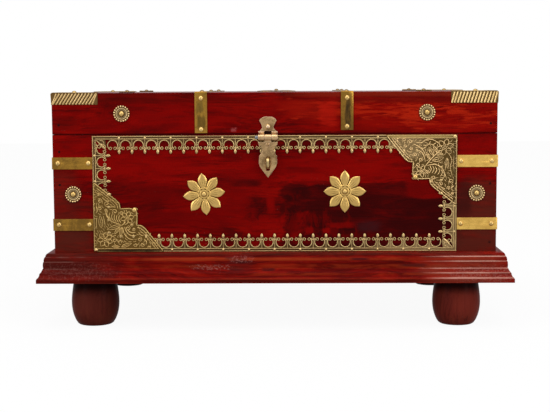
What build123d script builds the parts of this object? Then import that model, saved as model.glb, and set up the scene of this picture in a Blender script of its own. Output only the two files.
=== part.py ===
from build123d import *
import os
from math import acos, asin, cos, degrees, sin, sqrt

os.makedirs("parts", exist_ok=True)

# Damchiya chest: a lacquered wooden box on a moulded plinth and four turned feet,
# with a hinged lid, a hasp and staple, and nailed brass ornament.
# Origin: centre of the footprint on the floor. X to the right, Y to the back, Z up.

# ---- Driving dimensions, millimetres ----

# Boards
chest_width = 457.0
chest_depth = 305.0
board_thickness = 12.0
case_height = 152.2
lid_height = 42.5
seam_gap = 0.3
edge_round = 0.5

# Turned feet
foot_height = 49.0
foot_top_radius = 22.3
foot_belly_radius = 25.1
foot_base_radius = 17.3
foot_inset_x = 37.1
foot_inset_y = 25.9
foot_screw_radius = 2.5
foot_screw_length = 40.0
foot_screw_head_radius = 5.0

# Plinth moulding, member by member from its foot to its top
plinth_projection = 17.0
plinth_base_height = 2.6
nose_height = 2.8
nose_set_back = 1.2
lower_cove_height = 3.9
arris_projection = 13.9
upper_cove_height = 4.0
band_height = 6.4
band_projection = 10.5
band_bulge = 0.3
ovolo_height = 4.7
ovolo_set_back = 0.9
shoulder_height = 3.0
shoulder_projection = 6.8
weathering_height = 0.6
quirk_height = 0.5
quirk_depth = 0.6

# Nails
nail_head_radius = 2.65
nail_head_height = 1.6
nail_shank_radius = 0.9
nail_length = 9.0
pin_head_radius = 1.1
pin_head_height = 0.5
pin_shank_radius = 0.4
pin_length = 6.0
corner_pin_head_radius = 2.1
corner_pin_head_height = 1.2
wood_nail_radius = 1.3
wood_nail_length = 28.0
case_wood_nail_rises = {"left": (134.7, 100.6), "right": (39.9, 100.6)}
lid_wood_nail_rise = 9.7
fit_gap = 0.3

# Brass straps
strap_thickness = 1.0
corner_strap_width = 12.2
upper_strap_rise = {"left": 122.9, "right": 123.8}
lower_strap_rise = {"left": 59.1, "right": 59.3}
strap_nail_inset = 5.2
strap_return_nail_inset = 16.0
strap_end_margin = 4.0
lid_strap_width = 12.7
lid_strap_x = 74.9
lid_strap_end = {"left": 1.1, "right": 3.6}
lid_strap_nail_inset = 6.0
lid_strap_foot_nail_rise = 3.6
lid_strap_top_inset = 18.0

# Lace border of the front
lace_half_width = 187.5
lace_top_margin = 1.2
lace_foot_margin = 0.2
lace_thickness = 0.8
lace_width = 18.8
lace_pitch = 13.3
lace_arches_across = 26
lace_arches_up = 8
rail_width = 1.5
inner_rail_start = 2.8
arch_radius = 5.8
arch_wire = 1.4
arch_centre = 9.9
arch_mouth = 8.0
scroll_radius = 2.1
scroll_eye_radius = 0.8
scroll_spread = 2.5
scroll_centre = 12.9
stem_width = 2.2
bud_length = 5.6
bud_width = 4.0
pad_radius = 1.2

# Corner plates of the front
plate_thickness = 0.9
plate_leg = 72.3
plate_toe = 1.8
plate_shoulder = (54.5, 24.3)
plate_lobe_end = (45.6, 28.5)
plate_tip = 45.0
plate_tip_nail = 42.7

# Flowers and rosettes
flower_x = 72.6
flower_rise = {"left": -0.3, "right": 2.0}
flower_turn = {"left": 6.6, "right": 0.0}
flower_radius = 22.0
petal_count = 8
petal_root = 2.5
petal_half_width = 5.0
flower_thickness = 1.0
petal_rib_height = 0.4
petal_rib_width = 0.7
petal_rib_length = 8.0
petal_rib_lean = 9.0
flower_boss_radius = 5.3
flower_boss_height = 0.6
rosette_radius = 8.75
rosette_thickness = 0.8
rosette_bead_count = 19
rosette_bead_radius = 1.15
rosette_boss_radius = 4.2
rosette_boss_height = 0.5
lid_rosette_x = 156.6
top_rosette_x = 160.0
top_rosette_y = 85.0

# Corner caps of the lid
cap_thickness = 0.8
cap_leg = 47.5
cap_drop = 12.0
cap_toe = 7.0
cap_tip = 25.0
cap_ridge_count = 14
cap_ridge_width = 1.5
cap_ridge_height = 0.5
cap_ridge_lean = 27.0
cap_heel_nail = 20.0
cap_end_nail = 30.0

# Back hinges
hinge_x = 150.0
hinge_width = 40.0
hinge_leaf_height = 25.0
hinge_leaf_thickness = 1.5
knuckle_count = 5
knuckle_radius = 3.2
knuckle_gap = 0.2
hinge_pin_radius = 1.5
running_clearance = 0.05
lid_travel = 110.0
stop_margin = 2.0
stop_reach = 5.0
stop_width = 1.6
hinge_screw_radius = 1.5
hinge_screw_head_radius = 2.9
hinge_screw_length = 10.0
hinge_screw_spacing = 24.0
hinge_screw_drop = 16.0

# Hasp and staple
hasp_x = -6.3
hasp_axis_drop = 3.2
hasp_knuckle_radius = 3.3
hasp_knuckle_clearance = 0.8
hasp_width = 20.0
hasp_middle_width = 7.1
hasp_pin_radius = 1.3
hasp_pin_head_radius = 1.8
hasp_pin_head_length = 3.0
hasp_leaf_thickness = 1.5
hasp_base_rise = 1.2
hasp_upper_height = 17.3
hasp_lobe_half_width = 8.8
hasp_neck_half_width = 5.7
hasp_nail_rise = 7.2
hasp_length = 41.2
hasp_wing_half_width = 9.9
hasp_waist_half_width = 5.9
hasp_spur_half_width = 9.1
hasp_rivet_drop = 7.3
hasp_rivet_radius = 2.0
hasp_rivet_height = 1.2
slot_width = 4.1
slot_length = 14.3
slot_drop = 27.0
slot_round = 1.0
staple_thickness = 2.6
staple_height = 11.6
staple_drop = 26.2
staple_eye_radius = 2.75
staple_eye_offset = 8.6
staple_tang = 9.0

# ---- Levels, faces and axes that follow from them ----

half_width = chest_width / 2
half_depth = chest_depth / 2
inner_width = chest_width - 2 * board_thickness
inner_depth = chest_depth - 2 * board_thickness
case_bottom = foot_height
case_top = case_bottom + case_height
lid_bottom = case_top + seam_gap
lid_top = lid_bottom + lid_height
floor_top = case_bottom + board_thickness
seam_level = (case_top + lid_bottom) / 2
lid_middle = (lid_bottom + lid_top) / 2
plinth_height = (
    plinth_base_height + nose_height + lower_cove_height + upper_cove_height + band_height
    + ovolo_height + shoulder_height + weathering_height + 5 * quirk_height
)
plinth_top = case_bottom + plinth_height

front_face = Plane(origin=(0, -half_depth, 0), x_dir=(1, 0, 0), z_dir=(0, -1, 0))
back_face = Plane(origin=(0, half_depth, 0), x_dir=(-1, 0, 0), z_dir=(0, 1, 0))
lid_face = Plane.XY.offset(lid_top)
end_faces = {
    "left": Plane(origin=(-half_width, 0, 0), x_dir=(0, -1, 0), z_dir=(-1, 0, 0)),
    "right": Plane(origin=(half_width, 0, 0), x_dir=(0, 1, 0), z_dir=(1, 0, 0)),
}
sides = {"left": -1, "right": 1}
ends = {"front": -1, "back": 1}

lace_foot = plinth_top + lace_foot_margin
lace_head = case_top - lace_top_margin
field_middle = (lace_foot + lace_head) / 2
rosette_x = (half_width + lace_half_width) / 2
corner_strap_leg = half_width - lace_half_width - fit_gap
rail_gap_middle = (rail_width + inner_rail_start) / 2

hinge_axis_y = half_depth + knuckle_radius + fit_gap
hinge_screw_hole = hinge_screw_length - hinge_leaf_thickness
hasp_axis_offset = lace_thickness + hasp_knuckle_clearance + hasp_knuckle_radius
hasp_level = case_top - hasp_axis_drop
staple_level = hasp_level - staple_drop

# ---- Where the nails go ----

# Corner straps: on each front or back face two nails, and two on each return
strap_levels = {
    (side, row): case_bottom + rise[side]
    for row, rise in (("upper", upper_strap_rise), ("lower", lower_strap_rise))
    for side in sides
}
strap_far_inset = corner_strap_leg - strap_end_margin
front_strap_nails = [
    (sides[side] * (half_width - inset), level)
    for (side, row), level in strap_levels.items()
    for inset in (strap_nail_inset, strap_far_inset)
]
back_strap_nails = [(-x, level) for x, level in front_strap_nails]
end_strap_nails = {
    side: [
        (sign * (half_depth - inset), level)
        for (strap_side, row), level in strap_levels.items()
        if strap_side == side
        for inset in (strap_return_nail_inset, strap_far_inset)
        for sign in (-1, 1)
    ]
    for side in sides
}

# Front ornament
plate_tip_nails = [
    (-lace_half_width + plate_tip_nail, lace_foot + plate_tip_nail + 1.0),
    (lace_half_width - plate_tip_nail, lace_head - plate_tip_nail - 1.0),
]
plate_corner_nails = [
    (-lace_half_width + rail_gap_middle, lace_foot + rail_gap_middle),
    (lace_half_width - rail_gap_middle, lace_head - rail_gap_middle),
]
flower_points = {
    side: (sides[side] * flower_x, field_middle + flower_rise[side]) for side in sides
}
case_rosette_points = {side: (sides[side] * rosette_x, field_middle) for side in sides}
lid_rosette_points = {side: (sides[side] * lid_rosette_x, lid_middle) for side in sides}
top_rosette_points = [
    (x * top_rosette_x, y * top_rosette_y) for x in (-1, 1) for y in (-1, 1)
]

# Lid straps, caps and the hasp's upper leaf
lid_strap_front_nails = [
    (sides[side] * lid_strap_x, level)
    for side in sides
    for level in (
        lid_top - lid_strap_nail_inset,
        lid_bottom + lid_strap_end[side] + lid_strap_foot_nail_rise,
    )
]
lid_strap_back_nails = [(-x, level) for x, level in lid_strap_front_nails]
lid_strap_top_nails = [
    (side * lid_strap_x, y)
    for side in (-1, 1)
    for y in (-(half_depth - lid_strap_top_inset), 0, half_depth - lid_strap_top_inset)
]
cap_top_nails = [
    (side * (half_width - cap_heel_nail), end * (half_depth - cap_heel_nail))
    for side in (-1, 1)
    for end in (-1, 1)
]
cap_end_nails = [
    (end * (half_depth - cap_end_nail), lid_top - cap_drop / 2) for end in (-1, 1)
]
hasp_nail = (hasp_x, lid_bottom + hasp_nail_rise)

# Wood nails through the front and back boards into the ends
wood_nail_inset = board_thickness / 2 + 0.8
case_wood_nails_at = [
    (sides[side] * (half_width - wood_nail_inset), case_bottom + rise)
    for side, rises in case_wood_nail_rises.items()
    for rise in rises
]
lid_wood_nails_at = [
    (side * (half_width - wood_nail_inset), lid_bottom + lid_wood_nail_rise)
    for side in (-1, 1)
]

# Hinge screws
case_hinge_screws_at = [
    (side * hinge_x + offset_x, seam_level - hinge_screw_drop)
    for side in (-1, 1)
    for offset_x in (-hinge_screw_spacing / 2, hinge_screw_spacing / 2)
]
lid_hinge_screws_at = [(x, 2 * seam_level - level) for x, level in case_hinge_screws_at]


def nail_holes(plane, points, radius=nail_shank_radius, depth=nail_length):
    """Holes that nails or screws fill, drilled square into a face."""
    with Locations(plane):
        with Locations(*points):
            Hole(radius, depth)


def dome(radius, height):
    """A low domed head standing on the XY plane."""
    ball = (radius ** 2 + height ** 2) / (2 * height)
    with BuildPart() as head:
        with BuildSketch(Plane.XZ):
            with BuildLine():
                Line((0, height), (0, 0))
                Line((0, 0), (radius, 0))
                middle = asin(radius / ball) / 2
                ThreePointArc(
                    (radius, 0), (ball * sin(middle), height - ball + ball * cos(middle)), (0, height),
                )
            make_face()
        revolve(axis=Axis.Z)
    return head.part


def flat_head_screw(radius, head_radius, length):
    """A countersunk screw whose head is level with the XY plane."""
    with BuildPart() as screw:
        with BuildSketch(Plane.XZ):
            with BuildLine():
                Polyline(
                    (0, 0), (head_radius, 0), (radius, radius - head_radius), (radius, -length),
                    (0, -length), close=True,
                )
            make_face()
        revolve(axis=Axis.Z)
    return screw.part


# ---- Boards of the case ----

with BuildPart() as case_front:
    with Locations((0, -half_depth, case_bottom)):
        Box(chest_width, board_thickness, case_height, align=(Align.CENTER, Align.MIN, Align.MIN))
    fillet(case_front.edges(), radius=edge_round)
    nail_holes(front_face, front_strap_nails + plate_tip_nails)
    nail_holes(front_face, [*flower_points.values(), *case_rosette_points.values()])
    nail_holes(front_face, plate_corner_nails, pin_shank_radius, pin_length)
    nail_holes(front_face, case_wood_nails_at, wood_nail_radius, board_thickness)
    with Locations((hasp_x, -half_depth, staple_level)):
        Box(
            staple_thickness, staple_tang, staple_height,
            align=(Align.CENTER, Align.MIN, Align.CENTER), mode=Mode.SUBTRACT,
        )
case_front.part.label = "case_front_board"
export_step(case_front.part, "parts/case_front_board.step")

with BuildPart() as case_back:
    with Locations((0, half_depth, case_bottom)):
        Box(chest_width, board_thickness, case_height, align=(Align.CENTER, Align.MAX, Align.MIN))
    fillet(case_back.edges(), radius=edge_round)
    nail_holes(back_face, back_strap_nails)
    nail_holes(back_face, case_wood_nails_at, wood_nail_radius, board_thickness)
    nail_holes(back_face, case_hinge_screws_at, hinge_screw_radius, hinge_screw_hole)
case_back.part.label = "case_back_board"
export_step(case_back.part, "parts/case_back_board.step")


def end_board(side, bottom, height, brass_nails, wood_nails):
    """An end board between the front and back boards, with its nail holes."""
    inner_faces = {-1: front_face.offset(-board_thickness), 1: back_face.offset(-board_thickness)}
    with BuildPart() as board:
        with Locations((sides[side] * (half_width - board_thickness / 2), 0, bottom)):
            Box(board_thickness, inner_depth, height, align=(Align.CENTER, Align.CENTER, Align.MIN))
        fillet(board.edges(), radius=edge_round)
        nail_holes(end_faces[side], brass_nails)
        for end, face in inner_faces.items():
            near = [(x, z) for x, z in wood_nails if x * sides[side] * end < 0]
            nail_holes(face, near, wood_nail_radius, wood_nail_length - board_thickness)
    return board


for side in sides:
    case_end = end_board(side, case_bottom, case_height, end_strap_nails[side], case_wood_nails_at)
    case_end.part.label = f"case_{side}_end"
    export_step(case_end.part, f"parts/case_{side}_end.step")

foot_points = {
    f"{end}_{side}": (sides[side] * (half_width - foot_inset_x), ends[end] * (half_depth - foot_inset_y))
    for end in ends
    for side in sides
}

with BuildPart() as case_floor:
    with Locations((0, 0, case_bottom)):
        Box(inner_width, inner_depth, board_thickness, align=(Align.CENTER, Align.CENTER, Align.MIN))
    with Locations((0, 0, floor_top)):
        with Locations(*foot_points.values()):
            CounterSinkHole(foot_screw_radius, foot_screw_head_radius, counter_sink_angle=90)
case_floor.part.label = "case_floor"
export_step(case_floor.part, "parts/case_floor.step")

# ---- Boards of the lid: four edges and a top board let in between them ----

with BuildPart() as lid_front:
    with Locations((0, -half_depth, lid_bottom)):
        Box(chest_width, board_thickness, lid_height, align=(Align.CENTER, Align.MIN, Align.MIN))
    fillet(lid_front.edges(), radius=edge_round)
    nail_holes(front_face, [*lid_strap_front_nails, *lid_rosette_points.values(), hasp_nail])
    nail_holes(front_face, lid_wood_nails_at, wood_nail_radius, board_thickness)
lid_front.part.label = "lid_front_board"
export_step(lid_front.part, "parts/lid_front_board.step")

with BuildPart() as lid_back:
    with Locations((0, half_depth, lid_bottom)):
        Box(chest_width, board_thickness, lid_height, align=(Align.CENTER, Align.MAX, Align.MIN))
    fillet(lid_back.edges(), radius=edge_round)
    nail_holes(back_face, lid_strap_back_nails)
    nail_holes(back_face, lid_wood_nails_at, wood_nail_radius, board_thickness)
    nail_holes(back_face, lid_hinge_screws_at, hinge_screw_radius, hinge_screw_hole)
lid_back.part.label = "lid_back_board"
export_step(lid_back.part, "parts/lid_back_board.step")

for side in sides:
    lid_end = end_board(side, lid_bottom, lid_height, cap_end_nails, lid_wood_nails_at)
    lid_end.part.label = f"lid_{side}_end"
    export_step(lid_end.part, f"parts/lid_{side}_end.step")

with BuildPart() as lid_board:
    with Locations((0, 0, lid_top)):
        Box(inner_width, inner_depth, board_thickness, align=(Align.CENTER, Align.CENTER, Align.MAX))
    fillet(lid_board.edges(), radius=edge_round)
    nail_holes(lid_face, lid_strap_top_nails + cap_top_nails + top_rosette_points + [(0, 0)])
lid_board.part.label = "lid_top_board"
export_step(lid_board.part, "parts/lid_top_board.step")

# ---- Plinth: a run of moulding on each side, mitred at the corners ----

def moulding(face, run):
    """One side of the plinth, against a face of the case whose length is run."""
    cross = Plane(origin=face.origin + Vector(0, 0, case_bottom), x_dir=face.z_dir, z_dir=-face.x_dir)
    nose_top = plinth_base_height + nose_height
    lower_foot = nose_top + quirk_height
    lower_top = lower_foot + lower_cove_height
    upper_foot = lower_top + quirk_height
    upper_top = upper_foot + upper_cove_height
    band_foot = upper_top + quirk_height
    band_top = band_foot + band_height
    ovolo_foot = band_top + quirk_height
    ovolo_top = ovolo_foot + ovolo_height
    shoulder_foot = ovolo_top + quirk_height
    ovolo_projection = band_projection - quirk_depth
    members = [
        (
            (plinth_projection, plinth_base_height),
            (plinth_projection - 0.3, plinth_base_height + 0.6 * nose_height),
            (plinth_projection - nose_set_back, nose_top),
        ),
        (
            (plinth_projection - nose_set_back - quirk_depth, lower_foot),
            (arris_projection + 0.4, lower_foot + 0.46 * lower_cove_height),
            (arris_projection, lower_top),
        ),
        (
            (arris_projection - quirk_depth, upper_foot),
            (band_projection + quirk_depth + 0.9, upper_foot + 0.45 * upper_cove_height),
            (band_projection + quirk_depth, upper_top),
        ),
        (
            (band_projection, band_foot),
            (band_projection + band_bulge, (band_foot + band_top) / 2),
            (band_projection, band_top),
        ),
        (
            (ovolo_projection, ovolo_foot),
            (ovolo_projection, ovolo_foot + 0.55 * ovolo_height),
            (ovolo_projection - ovolo_set_back, ovolo_top),
        ),
        (
            (ovolo_projection - ovolo_set_back - quirk_depth, shoulder_foot),
            (shoulder_projection + 1.1, shoulder_foot + 0.63 * shoulder_height),
            (shoulder_projection, shoulder_foot + shoulder_height),
        ),
    ]
    with BuildPart() as side_run:
        with BuildSketch(cross):
            with BuildLine():
                Polyline((0, 0), (plinth_projection, 0), members[0][0])
                for foot_point, bend, top_point in members:
                    ThreePointArc(foot_point, bend, top_point)
                for below, above in zip(members, members[1:]):
                    Line(below[2], above[0])
                Polyline(members[-1][2], (0, plinth_height), (0, 0))
            make_face()
        extrude(amount=run / 2 + plinth_projection, both=True)
        with BuildSketch(Plane(origin=face.origin, x_dir=face.x_dir, z_dir=(0, 0, -1))):
            Polygon(
                (-run / 2 - plinth_projection, plinth_projection),
                (run / 2 + plinth_projection, plinth_projection),
                (run / 2, 0), (-run / 2, 0), align=None,
            )
        extrude(amount=lid_top, both=True, mode=Mode.INTERSECT)
    return side_run


for name, face, run in (
    ("front", front_face, chest_width),
    ("back", back_face, chest_width),
    ("left", end_faces["left"], chest_depth),
    ("right", end_faces["right"], chest_depth),
):
    plinth_side = moulding(face, run)
    plinth_side.part.label = f"plinth_{name}"
    export_step(plinth_side.part, f"parts/plinth_{name}.step")

# ---- Turned feet, each on one long screw through the floor ----

for name, (x, y) in foot_points.items():
    with BuildPart() as foot:
        with BuildSketch(Plane(origin=(x, y, 0), x_dir=(1, 0, 0), z_dir=(0, -1, 0))):
            with BuildLine():
                Line((0, foot_height), (foot_top_radius, foot_height))
                Spline(
                    (foot_top_radius, foot_height), (foot_belly_radius - 0.8, 0.7 * foot_height),
                    (foot_belly_radius, 0.49 * foot_height), (foot_belly_radius - 1.8, 0.21 * foot_height),
                    (foot_base_radius + 3.2, 0.07 * foot_height),
                )
                Polyline(
                    (foot_base_radius + 3.2, 0.07 * foot_height),
                    (foot_base_radius + 1.6, 0.022 * foot_height),
                    (foot_base_radius, 0), (0, 0), (0, foot_height),
                )
            make_face()
        revolve(axis=Axis((x, y, 0), (0, 0, 1)))
        with Locations((x, y, foot_height)):
            Hole(foot_screw_radius, foot_screw_length - board_thickness)
    foot.part.label = f"foot_{name}"
    export_step(foot.part, f"parts/foot_{name}.step")

with BuildPart() as foot_screws:
    with Locations((0, 0, floor_top)):
        with Locations(*foot_points.values()):
            add(flat_head_screw(foot_screw_radius, foot_screw_head_radius, foot_screw_length))
foot_screws.part.label = "foot_screws"
export_step(foot_screws.part, "parts/foot_screws.step")

# ---- Wood nails, driven flush through the front and back boards ----

def wood_nails(points):
    """Round nails with their heads level with the wood, through the front and the back."""
    with BuildPart() as nails:
        for face in (front_face, back_face):
            with Locations(face):
                with Locations(*points):
                    Cylinder(wood_nail_radius, wood_nail_length, align=(Align.CENTER, Align.CENTER, Align.MAX))
    return nails


case_wood_nails = wood_nails(case_wood_nails_at)
case_wood_nails.part.label = "case_wood_nails"
export_step(case_wood_nails.part, "parts/case_wood_nails.step")

lid_wood_nails = wood_nails(lid_wood_nails_at)
lid_wood_nails.part.label = "lid_wood_nails"
export_step(lid_wood_nails.part, "parts/lid_wood_nails.step")

# ---- Brass straps ----

def corner_strap(side, end, level):
    """A strap bent round one upright corner of the case."""
    turn = sides[side] * ends[end]
    corner = (sides[side] * half_width, ends[end] * half_depth, level)
    face = front_face if end == "front" else back_face
    with BuildPart() as strap:
        with BuildSketch(Plane(origin=corner, x_dir=(-sides[side], 0, 0), z_dir=(0, 0, turn))) as bend:
            with BuildLine():
                Polyline(
                    (-strap_thickness, -strap_thickness), (corner_strap_leg, -strap_thickness),
                    (corner_strap_leg, 0), (0, 0), (0, corner_strap_leg),
                    (-strap_thickness, corner_strap_leg), close=True,
                )
            make_face()
            fillet(bend.vertices().sort_by_distance((-strap_thickness, -strap_thickness))[0], strap_thickness)
        extrude(amount=corner_strap_width / 2, both=True)
        own = front_strap_nails if end == "front" else back_strap_nails
        nail_holes(face.offset(strap_thickness), own, depth=strap_thickness)
        nail_holes(end_faces[side].offset(strap_thickness), end_strap_nails[side], depth=strap_thickness)
    return strap


for (side, row), level in strap_levels.items():
    front_strap = corner_strap(side, "front", level)
    front_strap.part.label = f"strap_front_{side}_{row}"
    export_step(front_strap.part, f"parts/strap_front_{side}_{row}.step")

with BuildPart() as back_straps:
    for (side, row), level in strap_levels.items():
        add(corner_strap(side, "back", level).part)
back_straps.part.label = "straps_back"
export_step(back_straps.part, "parts/straps_back.step")

for side in sides:
    with BuildPart() as lid_strap:
        with BuildSketch(Plane.YZ.offset(sides[side] * lid_strap_x)) as band:
            strap_foot = lid_bottom + lid_strap_end[side]
            with Locations((0, strap_foot)):
                Rectangle(
                    chest_depth + 2 * strap_thickness, lid_top + strap_thickness - strap_foot,
                    align=(Align.CENTER, Align.MIN),
                )
            fillet(band.vertices().group_by(Axis.Y)[-1], strap_thickness)
            with Locations((0, strap_foot)):
                Rectangle(
                    chest_depth, lid_top - strap_foot, align=(Align.CENTER, Align.MIN), mode=Mode.SUBTRACT,
                )
        extrude(amount=lid_strap_width / 2, both=True)
        nail_holes(front_face.offset(strap_thickness), lid_strap_front_nails, depth=strap_thickness)
        nail_holes(back_face.offset(strap_thickness), lid_strap_back_nails, depth=strap_thickness)
        nail_holes(lid_face.offset(strap_thickness), lid_strap_top_nails, depth=strap_thickness)
    lid_strap.part.label = f"lid_strap_{side}"
    export_step(lid_strap.part, f"parts/lid_strap_{side}.step")

# ---- Lace border: pierced strips with scrolled arches, a bud hanging between each pair ----

def lace_strip(edge, run, arches):
    """One strip: edge lies on its outer edge, with x along it and y towards the field."""
    stems = arches - 1
    with BuildPart() as strip:
        with BuildSketch(edge):
            with Locations((0, arch_centre)):
                with GridLocations(lace_pitch, 1, arches, 1):
                    Circle(arch_radius)
                with GridLocations(lace_pitch, 1, arches, 1):
                    Circle(arch_radius - arch_wire, mode=Mode.SUBTRACT)
                with GridLocations(lace_pitch, 1, arches, 1):
                    Rectangle(
                        arch_mouth, arch_radius + scroll_radius,
                        align=(Align.CENTER, Align.MIN), mode=Mode.SUBTRACT,
                    )
            with Locations((-scroll_spread, scroll_centre), (scroll_spread, scroll_centre)):
                with GridLocations(lace_pitch, 1, arches, 1):
                    Circle(scroll_radius)
                with GridLocations(lace_pitch, 1, arches, 1):
                    Circle(scroll_eye_radius, mode=Mode.SUBTRACT)
            with Locations((0, arch_centre)):
                with GridLocations(lace_pitch, 1, stems, 1):
                    Rectangle(
                        stem_width, lace_width - bud_length / 2 - arch_centre, align=(Align.CENTER, Align.MIN),
                    )
            with Locations((0, lace_width - bud_length / 2)):
                with GridLocations(lace_pitch, 1, stems, 1):
                    Ellipse(bud_width / 2, bud_length / 2)
            with Locations((0, rail_width / 2), (0, inner_rail_start + rail_width / 2)):
                Rectangle(run, rail_width)
            with Locations((0, rail_gap_middle)):
                with GridLocations(2 * lace_pitch, 1, arches // 2, 1):
                    Circle(pad_radius)
                with GridLocations(2 * lace_pitch, 1, arches // 2, 1):
                    Circle(pin_shank_radius, mode=Mode.SUBTRACT)
            Polygon(
                (-run / 2, 0), (run / 2, 0), (run / 2 - lace_width, lace_width),
                (lace_width - run / 2, lace_width), align=None, mode=Mode.INTERSECT,
            )
        extrude(amount=lace_thickness)
    with BuildPart() as joined:
        add(strip.part.solids().sort_by(SortBy.VOLUME)[-1])
    return joined


def lace_pins_along(edge, run, arches, covered_end):
    """Where a strip's pins stand, clear of the corner plate that covers one of its ends."""
    places = [(k - (arches // 2 - 1) / 2) * 2 * lace_pitch for k in range(arches // 2)]
    return [
        edge.location * Location((x, rail_gap_middle, 0))
        for x in places
        if covered_end * x < run / 2 - plate_leg - pin_head_radius
    ]


lace_rise = lace_head - lace_foot
lace_run = 2 * lace_half_width
lace_edges = {
    "top": ((0, -half_depth, lace_head), (-1, 0, 0), lace_run, lace_arches_across, -1),
    "bottom": ((0, -half_depth, lace_foot), (1, 0, 0), lace_run, lace_arches_across, -1),
    "left": ((-lace_half_width, -half_depth, field_middle), (0, 0, -1), lace_rise, lace_arches_up, 1),
    "right": ((lace_half_width, -half_depth, field_middle), (0, 0, 1), lace_rise, lace_arches_up, 1),
}
lace_pin_places = []
for name, (middle, along, run, arches, covered_end) in lace_edges.items():
    edge = Plane(origin=middle, x_dir=along, z_dir=front_face.z_dir)
    lace = lace_strip(edge, run, arches)
    lace_pin_places += lace_pins_along(edge.offset(lace_thickness), run, arches, covered_end)
    lace.part.label = f"lace_{name}"
    export_step(lace.part, f"parts/lace_{name}.step")

# ---- Corner plates over two corners of the lace ----

def corner_plate(corner, along, nails):
    """A plate with a lobe on each side of the diagonal and a tip on it; along runs level."""
    face = Plane(origin=corner, x_dir=along, z_dir=front_face.z_dir).offset(lace_thickness)
    diagonal = Plane(origin=(0, 0, 0), z_dir=(1, -1, 0))
    with BuildPart() as plate:
        with BuildSketch(face):
            with BuildLine():
                Polyline((0, 0), (plate_leg, 0), (plate_leg, plate_toe), plate_shoulder)
                ThreePointArc(
                    plate_shoulder,
                    (plate_lobe_end[0] + 5.2, plate_lobe_end[1] - 0.9),
                    plate_lobe_end,
                )
                ThreePointArc(
                    plate_lobe_end,
                    (plate_lobe_end[0] + 0.4, (plate_lobe_end[1] + plate_tip) / 2),
                    (plate_tip, plate_tip),
                )
                Line((plate_tip, plate_tip), (0, 0))
            make_face()
            mirror(about=diagonal)
        extrude(amount=plate_thickness)
        nail_holes(front_face.offset(lace_thickness + plate_thickness), nails, depth=plate_thickness)
        nail_holes(
            front_face.offset(lace_thickness + plate_thickness), plate_corner_nails,
            pin_shank_radius, plate_thickness,
        )
    return plate


for name, corner, along in (
    ("lower_left", (-lace_half_width, -half_depth, lace_foot), (1, 0, 0)),
    ("upper_right", (lace_half_width, -half_depth, lace_head), (-1, 0, 0)),
):
    plate = corner_plate(corner, along, plate_tip_nails)
    plate.part.label = f"corner_plate_{name}"
    export_step(plate.part, f"parts/corner_plate_{name}.step")

# ---- Flowers ----

def spot(face, point, turn=0.0):
    """A plane on a face, centred on a point given in the face's own axes."""
    return Plane(face.location * Location((point[0], point[1], 0), (0, 0, turn)))


with BuildSketch() as petal:
    with BuildLine():
        petal_middle = (petal_root + flower_radius) / 2
        ThreePointArc((petal_root, 0), (petal_middle, petal_half_width), (flower_radius, 0))
        ThreePointArc((flower_radius, 0), (petal_middle, -petal_half_width), (petal_root, 0))
    make_face()

petal_angle = 360 / petal_count


def flower(centre):
    """A pressed flower: pointed petals with three ribs each round a nailed boss."""
    with BuildPart() as bloom:
        with BuildSketch(centre):
            with PolarLocations(0, petal_count):
                add(petal.sketch)
            Circle(flower_boss_radius)
        extrude(amount=flower_thickness)
        with BuildSketch(centre.offset(flower_thickness)):
            with PolarLocations(petal_middle - 1.0, petal_count):
                Rectangle(petal_rib_length, petal_rib_width)
            for lean in (-petal_rib_lean, petal_rib_lean):
                with PolarLocations(petal_middle - 1.0, petal_count, start_angle=lean):
                    Rectangle(0.7 * petal_rib_length, petal_rib_width)
        extrude(amount=petal_rib_height)
        with BuildSketch(centre.offset(flower_thickness)):
            Circle(flower_boss_radius)
        extrude(amount=flower_boss_height)
        with Locations(centre.offset(flower_thickness + flower_boss_height)):
            Hole(nail_shank_radius, flower_thickness + flower_boss_height)
    return bloom


for side in sides:
    front_flower = flower(spot(front_face, flower_points[side], flower_turn[side]))
    front_flower.part.label = f"flower_{side}"
    export_step(front_flower.part, f"parts/flower_{side}.step")

top_flower = flower(lid_face)
top_flower.part.label = "lid_top_flower"
export_step(top_flower.part, "parts/lid_top_flower.step")

# ---- Rosettes with a beaded rim ----

def rosette(centre):
    """A round plate with beads round its rim and a boss that its nail goes through."""
    with BuildPart() as disc:
        with BuildSketch(centre):
            Circle(rosette_radius - rosette_bead_radius / 2)
        extrude(amount=rosette_thickness)
        with Locations(centre.offset(rosette_thickness)):
            with PolarLocations(rosette_radius - rosette_bead_radius, rosette_bead_count):
                Sphere(rosette_bead_radius)
            Cylinder(
                rosette_boss_radius, rosette_boss_height, align=(Align.CENTER, Align.CENTER, Align.MIN),
            )
        split(bisect_by=centre, keep=Keep.TOP)
        with Locations(centre.offset(rosette_thickness + rosette_boss_height)):
            Hole(nail_shank_radius, rosette_thickness + rosette_boss_height)
    return disc


for side in sides:
    case_rosette = rosette(spot(front_face, case_rosette_points[side]))
    case_rosette.part.label = f"rosette_case_{side}"
    export_step(case_rosette.part, f"parts/rosette_case_{side}.step")
    lid_rosette = rosette(spot(front_face, lid_rosette_points[side]))
    lid_rosette.part.label = f"rosette_lid_{side}"
    export_step(lid_rosette.part, f"parts/rosette_lid_{side}.step")

with BuildPart() as top_rosettes:
    for point in top_rosette_points:
        add(rosette(spot(lid_face, point)).part)
top_rosettes.part.label = "lid_top_rosettes"
export_step(top_rosettes.part, "parts/lid_top_rosettes.step")

# ---- Corner caps of the lid: a top leaf and two ridged flanges ----

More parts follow.
